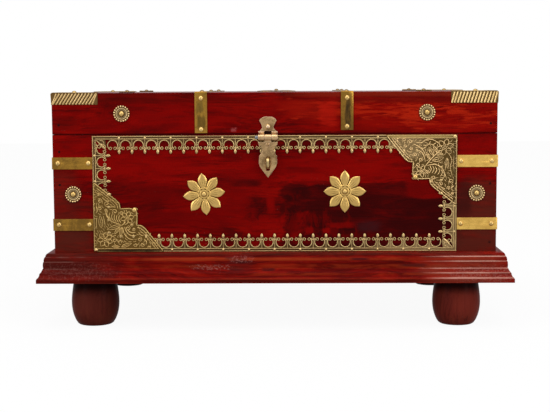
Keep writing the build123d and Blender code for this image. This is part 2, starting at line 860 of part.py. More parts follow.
def cap_ridges(face, outer_x):
    """Leaning ridges over one flange, whose outer end is at outer_x in the face's axes."""
    inward = -1 if outer_x > 0 else 1
    middle = (outer_x + inward * cap_leg / 2, lid_top - cap_drop / 2)
    with BuildSketch(face.offset(cap_thickness)) as ridges:
        with Locations(middle):
            with GridLocations(cap_leg / cap_ridge_count, 1, cap_ridge_count, 1):
                Rectangle(cap_ridge_width, 2 * cap_drop, rotation=-cap_ridge_lean)
            Rectangle(cap_leg, cap_drop, mode=Mode.INTERSECT)
    return ridges.sketch


def corner_cap(side, end):
    """A cap over one upper corner of the lid."""
    sx = sides[side]
    sy = ends[end]
    corner = (sx * half_width, sy * half_depth, lid_top)
    face = front_face if end == "front" else back_face
    face_x = sx * half_width if end == "front" else -sx * half_width
    end_x = sx * sy * half_depth
    with BuildPart() as cap:
        with BuildSketch(Plane(origin=corner, x_dir=(-sx, 0, 0), z_dir=(0, 0, sx * sy))):
            with BuildLine():
                Polyline(
                    (cap_toe, cap_leg), (-cap_thickness, cap_leg), (-cap_thickness, -cap_thickness),
                    (cap_leg, -cap_thickness), (cap_leg, cap_toe),
                )
                ThreePointArc((cap_leg, cap_toe), (0.75 * cap_leg, 0.42 * cap_leg), (cap_tip, cap_tip))
                ThreePointArc((cap_tip, cap_tip), (0.42 * cap_leg, 0.75 * cap_leg), (cap_toe, cap_leg))
            make_face()
        extrude(amount=sx * sy * cap_thickness)
        flange_level = lid_top + cap_thickness
        with Locations((corner[0] + sx * cap_thickness, corner[1], flange_level)):
            Box(
                cap_leg + cap_thickness, cap_thickness, cap_drop + cap_thickness,
                align=(Align.MAX if sx > 0 else Align.MIN, Align.MIN if sy > 0 else Align.MAX, Align.MAX),
            )
        with Locations((corner[0], corner[1] + sy * cap_thickness, flange_level)):
            Box(
                cap_thickness, cap_leg + cap_thickness, cap_drop + cap_thickness,
                align=(Align.MIN if sx > 0 else Align.MAX, Align.MAX if sy > 0 else Align.MIN, Align.MAX),
            )
        extrude(cap_ridges(face, face_x), amount=cap_ridge_height)
        extrude(cap_ridges(end_faces[side], end_x), amount=cap_ridge_height)
        nail_holes(lid_face.offset(cap_thickness), cap_top_nails, depth=cap_thickness)
        nail_holes(
            end_faces[side].offset(cap_thickness + cap_ridge_height), cap_end_nails,
            depth=cap_thickness + cap_ridge_height,
        )
    return cap


for end in ends:
    for side in sides:
        cap = corner_cap(side, end)
        cap.part.label = f"corner_cap_{end}_{side}"
        export_step(cap.part, f"parts/corner_cap_{end}_{side}.step")

# ---- Hasp: upper leaf on the lid, slotted leaf on its pin, staple on the case ----

hasp_face = spot(front_face, (hasp_x, hasp_level))


def hasp_side(x):
    """A plane across the hasp at x: local x out of the chest, local y up from the pin's axis."""
    return Plane(origin=(x, -half_depth, hasp_level), x_dir=(0, -1, 0), z_dir=(-1, 0, 0))


upper_base = lid_bottom - hasp_level + hasp_base_rise
upper_nail = hasp_nail[1] - hasp_level
upper_top = upper_base + hasp_upper_height - hasp_base_rise
outer_knuckle_width = (hasp_width - hasp_middle_width) / 2 - knuckle_gap
outer_knuckle_x = (hasp_middle_width + outer_knuckle_width) / 2 + knuckle_gap
knuckle_side = hasp_knuckle_radius / sqrt(2)

with BuildPart() as hasp_upper:
    with BuildSketch(hasp_face):
        with BuildLine():
            Polyline((0, upper_base), (hasp_width / 2, upper_base), (hasp_width / 2, upper_base + 1.0))
            ThreePointArc(
                (hasp_width / 2, upper_base + 1.0),
                (hasp_neck_half_width + 1.5, upper_nail - 3.0),
                (hasp_neck_half_width, upper_nail - 0.7),
            )
            ThreePointArc(
                (hasp_neck_half_width, upper_nail - 0.7),
                (hasp_neck_half_width + 1.0, upper_nail + 2.4),
                (hasp_lobe_half_width, upper_top - 3.6),
            )
            ThreePointArc(
                (hasp_lobe_half_width, upper_top - 3.6),
                (0.72 * hasp_lobe_half_width, upper_top - 1.0),
                (0, upper_top),
            )
            Line((0, upper_top), (0, upper_base))
        make_face()
        mirror(about=Plane.YZ)
        with Locations((0, upper_base)):
            Rectangle(
                hasp_middle_width + 2 * knuckle_gap, hasp_base_rise + 0.6,
                align=(Align.CENTER, Align.MIN), mode=Mode.SUBTRACT,
            )
    extrude(amount=hasp_leaf_thickness)
    for x in (hasp_x - outer_knuckle_x, hasp_x + outer_knuckle_x):
        with BuildSketch(hasp_side(x)):
            with BuildLine():
                Polyline(
                    (0, upper_base + 1.2), (0, upper_base),
                    (hasp_axis_offset - knuckle_side, knuckle_side), (hasp_axis_offset, 0),
                    (hasp_axis_offset, hasp_knuckle_radius),
                    (hasp_leaf_thickness, upper_base + 0.9), (hasp_leaf_thickness, upper_base + 1.2),
                    close=True,
                )
            make_face()
            with Locations((hasp_axis_offset, 0)):
                Circle(hasp_knuckle_radius)
                Circle(hasp_pin_radius, mode=Mode.SUBTRACT)
        extrude(amount=outer_knuckle_width / 2, both=True)
    nail_holes(front_face.offset(hasp_leaf_thickness), [hasp_nail], depth=hasp_leaf_thickness)
hasp_upper.part.label = "hasp_upper_leaf"
export_step(hasp_upper.part, "parts/hasp_upper_leaf.step")

neck_half_width = hasp_middle_width / 2 - knuckle_gap
wing_drop = hasp_knuckle_radius + 1.5
waist_drop = wing_drop + 7.2
spur_drop = waist_drop + 7.0
taper_drop = hasp_length - 11.3

with BuildPart() as hasp_lower:
    with BuildSketch(hasp_face.offset(hasp_axis_offset)):
        with BuildLine():
            Polyline(
                (0, -hasp_pin_radius - 0.6), (neck_half_width, -hasp_pin_radius - 0.6),
                (neck_half_width, -wing_drop), (hasp_wing_half_width, -wing_drop),
                (hasp_wing_half_width - 0.4, -wing_drop - 2.8),
            )
            ThreePointArc(
                (hasp_wing_half_width - 0.4, -wing_drop - 2.8),
                (hasp_waist_half_width + 0.9, -waist_drop + 2.2),
                (hasp_waist_half_width, -waist_drop),
            )
            ThreePointArc(
                (hasp_waist_half_width, -waist_drop),
                (hasp_waist_half_width + 0.9, -waist_drop - 3.6),
                (hasp_spur_half_width, -spur_drop),
            )
            Line((hasp_spur_half_width, -spur_drop), (hasp_spur_half_width - 0.5, -spur_drop - 0.9))
            ThreePointArc(
                (hasp_spur_half_width - 0.5, -spur_drop - 0.9),
                (hasp_spur_half_width + 0.2, (-spur_drop - taper_drop) / 2),
                (hasp_spur_half_width - 0.8, -taper_drop),
            )
            Polyline(
                (hasp_spur_half_width - 0.8, -taper_drop), (0, -hasp_length),
                (0, -hasp_pin_radius - 0.6),
            )
        make_face()
        mirror(about=Plane.YZ)
        with Locations((0, -slot_drop)):
            RectangleRounded(slot_width, slot_length, slot_round, mode=Mode.SUBTRACT)
    extrude(amount=hasp_leaf_thickness / 2, both=True)
    with BuildSketch(hasp_side(hasp_x)):
        with Locations((hasp_axis_offset, 0)):
            Circle(hasp_knuckle_radius)
    extrude(amount=neck_half_width, both=True)
    with BuildSketch(hasp_side(hasp_x)):
        with Locations((hasp_axis_offset, 0)):
            Circle(hasp_pin_radius + running_clearance)
    extrude(amount=hasp_width, both=True, mode=Mode.SUBTRACT)
    with Locations(spot(hasp_face.offset(hasp_axis_offset + hasp_leaf_thickness / 2), (0, -hasp_rivet_drop))):
        add(dome(hasp_rivet_radius, hasp_rivet_height))
hasp_lower.part.label = "hasp_leaf"
export_step(hasp_lower.part, "parts/hasp_leaf.step")

with BuildPart() as hasp_pin:
    with BuildSketch(hasp_side(hasp_x - hasp_width / 2)):
        with Locations((hasp_axis_offset, 0)):
            Circle(hasp_pin_radius)
    extrude(amount=-hasp_width)
    with BuildSketch(hasp_side(hasp_x - hasp_width / 2)):
        with Locations((hasp_axis_offset, 0)):
            Circle(hasp_pin_head_radius)
    extrude(amount=hasp_pin_head_length)
hasp_pin.part.label = "hasp_pin"
export_step(hasp_pin.part, "parts/hasp_pin.step")

with BuildPart() as staple:
    with BuildSketch(Plane(origin=(hasp_x, -half_depth, staple_level), x_dir=(0, -1, 0), z_dir=(-1, 0, 0))):
        with Locations((-staple_tang, 0)):
            Rectangle(staple_tang + staple_eye_offset, staple_height, align=(Align.MIN, Align.CENTER))
        with Locations((staple_eye_offset, 0)):
            Circle(staple_height / 2)
            Circle(staple_eye_radius, mode=Mode.SUBTRACT)
    extrude(amount=staple_thickness / 2, both=True)
staple.part.label = "hasp_staple"
export_step(staple.part, "parts/hasp_staple.step")

# ---- Back hinges: five knuckles on a pin, with a nib that stops the lid ----

knuckle_pitch = hinge_width / knuckle_count
stop_face = degrees(acos((knuckle_radius + fit_gap - hinge_leaf_thickness) / stop_reach)) - 180
stop_angle = lid_travel + stop_margin + stop_face + degrees(asin(stop_width / 2 / stop_reach))


def hinge_leaf(x, body):
    """One leaf: the case holds the outer knuckles and the pin, the lid the ones between."""
    first = 0 if body == "case" else 1
    upward = Align.MAX if body == "case" else Align.MIN
    leaf_end = seam_level - fit_gap if body == "case" else seam_level + fit_gap
    bore = hinge_pin_radius if body == "case" else hinge_pin_radius + running_clearance
    centres = [x + (k - (knuckle_count - 1) / 2) * knuckle_pitch for k in range(knuckle_count)]
    own = [Location((centre, hinge_axis_y, seam_level)) for centre in centres[first::2]]
    other = [Location((centre, hinge_axis_y, seam_level)) for centre in centres[1 - first::2]]
    screws = case_hinge_screws_at if body == "case" else lid_hinge_screws_at
    with BuildPart() as leaf:
        with Locations((x, half_depth, leaf_end)):
            Box(hinge_width, hinge_leaf_thickness, hinge_leaf_height, align=(Align.CENTER, Align.MIN, upward))
        with Locations(*other):
            Cylinder(
                knuckle_radius + fit_gap, knuckle_pitch + knuckle_gap, rotation=(0, 90, 0),
                mode=Mode.SUBTRACT,
            )
        with Locations(*own):
            Cylinder(knuckle_radius, knuckle_pitch - knuckle_gap, rotation=(0, 90, 0))
        if body == "lid":
            with Locations(*[place * Location((0, 0, 0), (stop_angle, 0, 0)) for place in own]):
                Box(
                    knuckle_pitch - knuckle_gap, stop_reach, stop_width,
                    align=(Align.CENTER, Align.MIN, Align.CENTER),
                )
        with Locations((x, hinge_axis_y, seam_level)):
            Cylinder(bore, hinge_width, rotation=(0, 90, 0), mode=Mode.SUBTRACT)
        with Locations(back_face.offset(hinge_leaf_thickness)):
            with Locations(*screws):
                CounterSinkHole(
                    hinge_screw_radius, hinge_screw_head_radius, hinge_leaf_thickness,
                    counter_sink_angle=90,
                )
    return leaf


for side in sides:
    for body in ("case", "lid"):
        leaf = hinge_leaf(sides[side] * hinge_x, body)
        leaf.part.label = f"hinge_{side}_{body}_leaf"
        export_step(leaf.part, f"parts/hinge_{side}_{body}_leaf.step")

with BuildPart() as hinge_pins:
    with Locations((-hinge_x, hinge_axis_y, seam_level), (hinge_x, hinge_axis_y, seam_level)):
        Cylinder(hinge_pin_radius, hinge_width, rotation=(0, 90, 0))
hinge_pins.part.label = "hinge_pins"
export_step(hinge_pins.part, "parts/hinge_pins.step")

for body, points in (("case", case_hinge_screws_at), ("lid", lid_hinge_screws_at)):
    with BuildPart() as hinge_screws:
        with Locations(back_face.offset(hinge_leaf_thickness)):
            with Locations(*points):
                add(flat_head_screw(hinge_screw_radius, hinge_screw_head_radius, hinge_screw_length))
    hinge_screws.part.label = f"{body}_hinge_screws"
    export_step(hinge_screws.part, f"parts/{body}_hinge_screws.step")

# ---- Brass nails: domed heads on straps, plates, flowers, rosettes, caps and the hasp ----

def domed_nails(rows):
    """Domed nails in rows, each row a face raised to the heads' seat and its points."""
    with BuildPart() as nails:
        for face, points in rows:
            with Locations(face):
                with Locations(*points):
                    add(dome(nail_head_radius, nail_head_height))
                    Cylinder(nail_shank_radius, nail_length, align=(Align.CENTER, Align.CENTER, Align.MAX))
    return nails


flower_top = flower_thickness + flower_boss_height
rosette_top = rosette_thickness + rosette_boss_height

case_nails = domed_nails([
    (front_face.offset(strap_thickness), front_strap_nails),
    (back_face.offset(strap_thickness), back_strap_nails),
    (end_faces["left"].offset(strap_thickness), end_strap_nails["left"]),
    (end_faces["right"].offset(strap_thickness), end_strap_nails["right"]),
    (front_face.offset(lace_thickness + plate_thickness), plate_tip_nails),
    (front_face.offset(flower_top), flower_points.values()),
    (front_face.offset(rosette_top), case_rosette_points.values()),
])
case_nails.part.label = "case_brass_nails"
export_step(case_nails.part, "parts/case_brass_nails.step")

lid_nails = domed_nails([
    (front_face.offset(strap_thickness), lid_strap_front_nails),
    (back_face.offset(strap_thickness), lid_strap_back_nails),
    (lid_face.offset(strap_thickness), lid_strap_top_nails),
    (lid_face.offset(cap_thickness), cap_top_nails),
    (end_faces["left"].offset(cap_thickness + cap_ridge_height), cap_end_nails),
    (end_faces["right"].offset(cap_thickness + cap_ridge_height), cap_end_nails),
    (lid_face.offset(flower_top), [(0, 0)]),
    (lid_face.offset(rosette_top), top_rosette_points),
    (front_face.offset(rosette_top), lid_rosette_points.values()),
    (front_face.offset(hasp_leaf_thickness), [hasp_nail]),
])
lid_nails.part.label = "lid_brass_nails"
export_step(lid_nails.part, "parts/lid_brass_nails.step")

# Small pins that hold the lace, and one with a broader head at each corner plate's corner
with BuildPart() as lace_pins:
    with Locations(*lace_pin_places):
        add(dome(pin_head_radius, pin_head_height))
        Cylinder(pin_shank_radius, pin_length, align=(Align.CENTER, Align.CENTER, Align.MAX))
    with Locations(front_face.offset(lace_thickness + plate_thickness)):
        with Locations(*plate_corner_nails):
            add(dome(corner_pin_head_radius, corner_pin_head_height))
            Cylinder(pin_shank_radius, pin_length, align=(Align.CENTER, Align.CENTER, Align.MAX))
lace_pins.part.label = "lace_pins"
export_step(lace_pins.part, "parts/lace_pins.step")
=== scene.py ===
from math import cos, pi, radians, sin, tan

import bmesh
import bpy
from mathutils import Matrix, Vector


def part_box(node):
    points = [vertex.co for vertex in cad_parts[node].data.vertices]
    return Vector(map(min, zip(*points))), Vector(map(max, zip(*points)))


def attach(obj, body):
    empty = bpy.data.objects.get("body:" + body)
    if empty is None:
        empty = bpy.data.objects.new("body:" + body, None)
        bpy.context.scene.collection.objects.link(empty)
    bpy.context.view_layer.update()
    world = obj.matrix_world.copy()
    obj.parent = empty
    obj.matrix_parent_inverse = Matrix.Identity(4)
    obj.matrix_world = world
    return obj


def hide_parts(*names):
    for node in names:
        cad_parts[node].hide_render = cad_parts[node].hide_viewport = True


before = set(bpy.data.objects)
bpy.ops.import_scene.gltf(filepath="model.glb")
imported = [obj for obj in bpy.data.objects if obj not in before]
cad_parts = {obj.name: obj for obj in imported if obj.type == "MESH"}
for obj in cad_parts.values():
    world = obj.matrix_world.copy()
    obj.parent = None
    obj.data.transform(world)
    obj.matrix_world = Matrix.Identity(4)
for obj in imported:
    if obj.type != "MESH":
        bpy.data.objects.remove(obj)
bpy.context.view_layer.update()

# ---- Boards ----
# The case and the lid are flat boards of straight-grained hardwood, planed and stained, under a deep
# red lacquer with smoky patches. They are butted and nailed, and the inside is left almost raw.

mm = 0.001


def shader_group(name, inputs):
    """An empty shader node group and what it is given: inputs are (name, kind, default)."""
    group = bpy.data.node_groups.new(name, "ShaderNodeTree")
    for socket, kind, value in inputs:
        made = group.interface.new_socket(socket, in_out="INPUT", socket_type="NodeSocket" + kind)
        if value is not None:
            made.default_value = value
    return group, group.nodes.new("NodeGroupInput").outputs


def end_group(group, **results):
    """The group with its outputs: a result called Color is a colour, and any other a number."""
    for socket in results:
        kind = "NodeSocketColor" if socket == "Color" else "NodeSocketFloat"
        group.interface.new_socket(socket, in_out="OUTPUT", socket_type=kind)
    out = group.nodes.new("NodeGroupOutput")
    for socket, value in results.items():
        group.links.new(value, out.inputs[socket])
    return group


def node(tree, kind, inputs=None, **settings):
    """One node: settings are its properties, inputs its sockets by name or place, as values or links."""
    made = tree.nodes.new(kind)
    for setting, value in settings.items():
        setattr(made, setting, value)
    for socket, value in (inputs or {}).items():
        if isinstance(value, bpy.types.NodeSocket):
            tree.links.new(value, made.inputs[socket])
        else:
            made.inputs[socket].default_value = value
    return made


def math(tree, operation, a, b=0.0, clamp=False):
    """A Math node's value."""
    return node(tree, "ShaderNodeMath", {0: a, 1: b}, operation=operation, use_clamp=clamp).outputs[0]


def ramp(tree, value, low, high, to_low=0.0, to_high=1.0):
    """A smooth step from low to high."""
    inputs = {"Value": value, "From Min": low, "From Max": high, "To Min": to_low, "To Max": to_high}
    return node(tree, "ShaderNodeMapRange", inputs, interpolation_type="SMOOTHSTEP").outputs[0]


def vector_math(tree, operation, a, b):
    """A Vector Math node's vector, or its value for a dot product."""
    made = node(tree, "ShaderNodeVectorMath", {0: a, 1: b}, operation=operation)
    return made.outputs["Value" if operation == "DOT_PRODUCT" else "Vector"]


def blend(tree, factor, a, b):
    """A colour between a and b. The Mix node has its colour sockets at 6, 7 and, coming out, 2."""
    return node(tree, "ShaderNodeMix", {0: factor, 6: a, 7: b}, data_type="RGBA").outputs[2]


def noise(tree, place, scale, detail=4.0, roughness=0.55, distortion=0.0):
    """Fractal noise at a place."""
    inputs = {
        "Vector": place, "Scale": scale, "Detail": detail, "Roughness": roughness, "Distortion": distortion,
    }
    return node(tree, "ShaderNodeTexNoise", inputs).outputs["Fac"]


def stretched(tree, place, scale, shift=(0.0, 0.0, 0.0)):
    """A place scaled apart along its axes, then shifted."""
    inputs = {"Vector": place, "Scale": scale, "Location": shift}
    return node(tree, "ShaderNodeMapping", inputs).outputs["Vector"]


def build_lacquer():
    """Stained wood under lacquer. Place has the grain along X, in metres."""
    group, given = shader_group("lacquered grain", [
        ("Place", "Vector", None), ("Red", "Color", (0.1, 0.001, 0.001, 1)),
        ("Flame", "Color", (0.2, 0.006, 0.002, 1)), ("Smoke", "Color", (0.03, 0.001, 0.002, 1)),
        ("Flame Amount", "Float", 0.5), ("Smoke Amount", "Float", 0.5),
    ])
    # The grain wanders across its run
    wander = noise(group, stretched(group, given["Place"], (7, 20, 20)), 1.0, 2.0)
    drift = math(group, "MULTIPLY", math(group, "SUBTRACT", wander, 0.5), 0.028)
    drift = node(group, "ShaderNodeCombineXYZ", {1: drift, 2: drift}).outputs[0]
    place = vector_math(group, "ADD", given["Place"], drift)
    # Streaks of light and dark, in broader clouds of stain
    streaks = noise(group, stretched(group, place, (12, 150, 150)), 1.0, 5.0, 0.66, 0.5)
    clouds = noise(group, stretched(group, place, (13, 38, 38), (0.31, 0.7, 0.2)), 1.0, 4.0, 0.6, 0.8)
    tone = math(group, "ADD", math(group, "MULTIPLY", streaks, 0.5), math(group, "MULTIPLY", clouds, 0.5))
    light = math(group, "MULTIPLY", ramp(group, tone, 0.49, 0.58), given["Flame Amount"], True)
    dark = math(group, "MULTIPLY", ramp(group, tone, 0.51, 0.42), given["Smoke Amount"], True)
    # Fine dark pores and threads
    threads = noise(group, stretched(group, place, (18, 460, 460)), 1.0, 3.0, 0.7)
    pores = noise(group, stretched(group, place, (60, 1300, 1300), (0.5, 0.1, 0.4)), 1.0, 2.0, 0.5)
    thread = ramp(group, threads, 0.5, 0.64)
    pore = ramp(group, pores, 0.6, 0.72)
    # Specks of dust in the lacquer
    specks = ramp(group, noise(group, given["Place"], 620.0, 1.0), 0.77, 0.82)
    colour = blend(group, light, given["Red"], given["Flame"])
    for share, stain in (
        (dark, given["Smoke"]), (math(group, "MULTIPLY", thread, 0.55), given["Smoke"]),
        (math(group, "MULTIPLY", pore, 0.3), given["Smoke"]),
        (math(group, "MULTIPLY", specks, 0.45), (0.22, 0.09, 0.08, 1)),
    ):
        colour = blend(group, share, colour, stain)
    rough = math(group, "ADD", math(group, "MULTIPLY", thread, 0.12), math(group, "MULTIPLY", specks, 0.2))
    rough = math(group, "ADD", rough, 0.32)
    furrows = math(group, "MULTIPLY", threads, -0.5)
    height = math(group, "ADD", furrows, math(group, "MULTIPLY", streaks, 1.2))
    return end_group(group, Color=colour, Roughness=rough, Height=height)


board_grain = (22, 90, 90)


def build_patch():
    """A patch round a centre, nearly a rounded oblong, ragged along the grain and let through in wisps."""
    group, given = shader_group("patch", [
        ("Place", "Vector", None), ("Centre", "Vector", (0, 0, 0)), ("Reach", "Vector", (0.1, 0.1, 0.1)),
        ("Ragged", "Float", 0.6), ("Soft", "Float", 0.35), ("Wisps", "Float", 0.4),
        ("Grain", "Vector", board_grain),
    ])
    # The distance is the fourth root of the summed fourth powers, which rounds an oblong
    away = vector_math(group, "SUBTRACT", given["Place"], given["Centre"])
    share = vector_math(group, "DIVIDE", away, given["Reach"])
    squared = vector_math(group, "MULTIPLY", share, share)
    distance = math(group, "POWER", vector_math(group, "DOT_PRODUCT", squared, squared), 0.25)
    # Its edge wanders with the grain
    wander = noise(group, stretched(group, given["Place"], given["Grain"]), 1.0, 6.0, 0.66, 0.8)
    wander = math(group, "SUBTRACT", wander, 0.5)
    wander = math(group, "MULTIPLY", wander, math(group, "MULTIPLY", given["Ragged"], 3.0))
    edge = math(group, "ADD", distance, wander)
    outer, inner = math(group, "ADD", 1.0, given["Soft"]), math(group, "SUBTRACT", 1.0, given["Soft"])
    mask = ramp(group, edge, outer, inner)
    # Wisps of the ground show through
    gaps = stretched(group, given["Place"], given["Grain"], (0.2, 0.5, 0.9))
    gaps = noise(group, gaps, 1.0, 5.0, 0.62, 0.6)
    gaps = math(group, "MULTIPLY", ramp(group, gaps, 0.42, 0.6), given["Wisps"])
    return end_group(group, Mask=math(group, "MULTIPLY", mask, math(group, "SUBTRACT", 1.0, gaps)))


lacquer = build_lacquer()
patch = build_patch()
stain_red = (0.15, 0.0009, 0.0006, 1)
stain_smoke = (0.028, 0.0013, 0.0014, 1)
stain_umber = (0.078, 0.012, 0.007, 1)
stain_bright = (0.21, 0.0014, 0.0008, 1)
stain_orange = (0.37, 0.014, 0.003, 1)
bare_wood = (0.23, 0.12, 0.06, 1)
dusty_wood = (0.13, 0.055, 0.03, 1)
stain_dark = (0.085, 0.0008, 0.0006, 1)
inner_face, inner_fade = 11.6 * mm, 0.15 * mm
wood_relief, wood_depth = 0.25, 0.4


def new_finish(name, **values):
    """A material with its tree and its shader, and the shader's plain values."""
    material = bpy.data.materials.new(name)
    material.use_nodes = True
    shader = material.node_tree.nodes["Principled BSDF"]
    for socket, value in values.items():
        shader.inputs[socket.replace("_", " ")].default_value = value
    return material, material.node_tree, shader


def surfaced(tree, shader, colour, roughness, height, strength, depth):
    """Gives a shader its colour and roughness, and its relief through a bump of a depth in mm."""
    bump = node(tree, "ShaderNodeBump", {"Height": height, "Strength": strength, "Distance": depth * mm})
    tree.links.new(colour, shader.inputs["Base Color"])
    tree.links.new(roughness, shader.inputs["Roughness"])
    tree.links.new(bump.outputs["Normal"], shader.inputs["Normal"])


def object_place(tree):
    """A place on the piece, in the chest's own frame."""
    return node(tree, "ShaderNodeTexCoord").outputs["Object"]


def patched(tree, place, colour, patches):
    """A colour under patches: (centre, reach, colour, strength, ragged, soft, wisps[, grain]), in mm."""
    for centre, reach, stain, strength, ragged, soft, wisps, *grain in patches:
        inputs = {
            "Place": place, "Centre": [c * mm for c in centre], "Reach": [r * mm for r in reach],
            "Ragged": ragged, "Soft": soft, "Wisps": wisps, "Grain": grain[0] if grain else board_grain,
        }
        spot = node(tree, "ShaderNodeGroup", inputs, node_tree=patch)
        colour = blend(tree, math(tree, "MULTIPLY", spot.outputs["Mask"], strength), colour, stain)
    return colour


def lacquered(
    name, turn, seed, flame, smoke, patches=(), inside=None, red=stain_red, dark=stain_smoke, gloss=0.02,
):
    """A board's finish. turn brings the grain to X; inside is the way in and where the inside starts."""
    material, tree, shader = new_finish(name, Specular_IOR_Level=gloss)
    place = object_place(tree)
    shift = (seed, seed * 0.7, seed * 1.3)
    grain = node(
        tree, "ShaderNodeMapping", {"Vector": place, "Rotation": turn, "Location": shift},
    ).outputs["Vector"]
    stains = {
        "Place": grain, "Red": red, "Flame": (1.75 * red[0], 3.0 * red[1], 1.8 * red[2], 1), "Smoke": dark,
        "Flame Amount": flame, "Smoke Amount": smoke,
    }
    wood = node(tree, "ShaderNodeGroup", stains, node_tree=lacquer).outputs
    colour = patched(tree, place, wood["Color"], patches)
    if inside:
        axis, level = inside
        towards = vector_math(tree, "DOT_PRODUCT", place, axis)
        raw_share = ramp(tree, towards, level - inner_fade, level + inner_fade)
        dusty = noise(tree, stretched(tree, grain, (9, 90, 90)), 1.0, 4.0)
        colour = blend(tree, raw_share, colour, blend(tree, dusty, dusty_wood, bare_wood))
    surfaced(tree, shader, colour, wood["Roughness"], wood["Height"], wood_relief, wood_depth)
    return material


def finish_node(name, material):
    """Gives a carried-over piece its finish."""
    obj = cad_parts[name]
    obj.data.materials.clear()
    obj.data.materials.append(material)


front_y, back_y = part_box("case_front_board")[0].y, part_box("case_back_board")[1].y
left_x, right_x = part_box("case_front_board")[0].x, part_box("case_front_board")[1].x
lid_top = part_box("lid_front_board")[1].z
along_x, along_y = (0, 0, 0), (0, 0, radians(90))

patch_depth = 60
board_face = -152
# How fine the ragged edges of a patch are along x, y and z
across = (95, 60, 34)
swirled = (60, 60, 75)
flames = (30, 160, 230)
fleck_grain = (240, 240, 300)


def on_face(level, rows):
    """Patches on a face that looks to the front, at a level in y: (x, z, reach in x, in z, ...)."""
    return [((x, level, z), (wide, patch_depth, high), *rest) for x, z, wide, high, *rest in rows]


front_patches = on_face(board_face, [
    (-150, 172, 52, 20, stain_bright, 0.95, 0.6, 0.5, 0.4),
    (-209, 178, 26, 18, stain_bright, 0.7, 0.5, 0.5, 0.5),
    (209, 178, 26, 24, stain_bright, 0.75, 0.4, 0.4, 0.5),
    (-105, 118, 85, 26, stain_dark, 0.3, 0.5, 0.5, 0.7),
    (50, 166, 105, 14, stain_bright, 0.8, 0.4, 0.4, 0.5),
    (-122, 140.5, 27, 9, (0.14, 0.001, 0.0007, 1), 0.6, 0.5, 0.5, 0.4),
    (-40, 135, 20, 18, (0.165, 0.0012, 0.0008, 1), 0.65, 0.5, 0.5, 0.4),
    (-95, 115.5, 75, 8, (0.15, 0.001, 0.0007, 1), 0.6, 0.5, 0.5, 0.4),
    (30, 164, 15, 3, stain_dark, 0.6, 0.4, 0.5, 0.4),
    (-95, 170, 22, 9, stain_bright, 0.45, 0.5, 0.5, 0.5),
    (100, 104, 92, 47, stain_smoke, 0.91, 0.12, 0.03, 0.25),
    (22, 141.5, 15, 9, stain_smoke, 0.85, 0.4, 0.2, 0.2),
    (163, 146, 27, 12, (0.16, 0.0012, 0.0008, 1), 0.92, 0.25, 0.15, 0.3),
    (4, 107, 24, 14, stain_bright, 0.7, 1.0, 0.3, 1.0, swirled),
    (20, 126, 11, 14, (0.12, 0.0009, 0.0006, 1), 0.5, 0.9, 0.4, 1.8, swirled),
    (38, 107, 38, 12, (0.13, 0.0009, 0.0006, 1), 0.6, 1.0, 0.3, 2.4, across),
    (36, 101, 4, 4, (0.24, 0.0016, 0.001, 1), 0.75, 0.8, 0.5, 0.3, swirled),
    (54, 101, 4, 2.6, (0.26, 0.0018, 0.001, 1), 0.8, 0.8, 0.5, 0.3, swirled),
    (69, 106.5, 11, 2.6, stain_bright, 0.7, 0.8, 0.4, 0.4),
    (98, 106, 10, 6, (0.045, 0.008, 0.01, 1), 0.6, 0.6, 0.6, 0.4),
    (-27, 151, 14, 3.2, stain_smoke, 0.65, 0.8, 0.5, 0.5),
    (-8, 125, 17, 10, stain_smoke, 0.8, 0.9, 0.35, 0.7, swirled),
    (-4, 128, 4, 8, stain_bright, 0.9, 0.5, 0.5, 0.2, swirled),
    (-218, 125, 14, 38, stain_umber, 0.5, 0.4, 0.5, 0.4),
    (-206, 123, 20, 11, (0.06, 0.006, 0.004, 1), 0.55, 0.4, 0.4, 0.3),
    (209, 102, 22, 53, stain_umber, 0.9, 0.15, 0.12, 0.3),
    (194, 134, 9, 18, (0.032, 0.003, 0.003, 1), 0.65, 0.3, 0.4, 0.3),
    (-209, 72, 22, 34, stain_umber, 0.9, 0.2, 0.35, 0.3),
    # Painted shade along the seam under the lid's lower edge
    (0, 201.6, 240, 1.3, stain_smoke, 0.8, 0.0, 0.3, 0.0),
])
lid_patches = on_face(board_face, [
    (150, 222, 95, 18, (0.24, 0.003, 0.001, 1), 0.7, 0.6, 0.5, 0.6),
    (105, 226, 78, 9, stain_orange, 0.85, 1.1, 0.3, 1.3, flames),
    (180, 218, 60, 10, stain_orange, 0.75, 1.2, 0.3, 1.4, flames),
    (120, 236.2, 85, 3.6, (0.1, 0.0035, 0.002, 1), 0.65, 0.5, 0.5, 0.4),
    (125, 242.9, 105, 3.6, (0.19, 0.014, 0.005, 1), 0.8, 0.4, 0.4, 0.2),
    (-170, 241, 110, 7, (0.055, 0.0022, 0.0014, 1), 0.7, 0.4, 0.4, 0.3),
    (-45, 235, 28, 3.6, (0.07, 0.0016, 0.001, 1), 0.6, 0.5, 0.5, 0.4),
    (36, 226, 26, 9, (0.29, 0.006, 0.002, 1), 0.75, 0.6, 0.4, 0.4),
    (55, 221, 9, 14, (0.38, 0.008, 0.003, 1), 0.85, 0.9, 0.4, 0.4, flames),
    (-171, 212, 19, 9, stain_bright, 0.6, 0.4, 0.4, 0.3),
    (-215, 213, 13, 7, (0.06, 0.0018, 0.0012, 1), 0.5, 0.5, 0.5, 0.3),
    (-90, 220, 150, 22, (0.1, 0.0009, 0.0006, 1), 0.3, 0.7, 0.6, 0.6),
    (-112, 218, 46, 14, stain_bright, 0.7, 0.5, 0.5, 0.5),
    (-41.5, 205.6, 2.4, 1.6, (0.36, 0.07, 0.07, 1), 0.8, 0.9, 0.6, 0.4, fleck_grain),
    # Painted shade along the lid's lower edge at the seam
    (-70, 201.2, 180, 1.5, stain_smoke, 0.75, 0.0, 0.4, 0.0),
    (150, 201.2, 110, 1.0, stain_smoke, 0.25, 0.0, 0.4, 0.0),
    # Painted shadow in the gap above the hasp's knuckle
    (-6.3, 204, 5, 3, (0.012, 0.004, 0.003, 1), 0.95, 0.0, 0.2, 0.0),
])
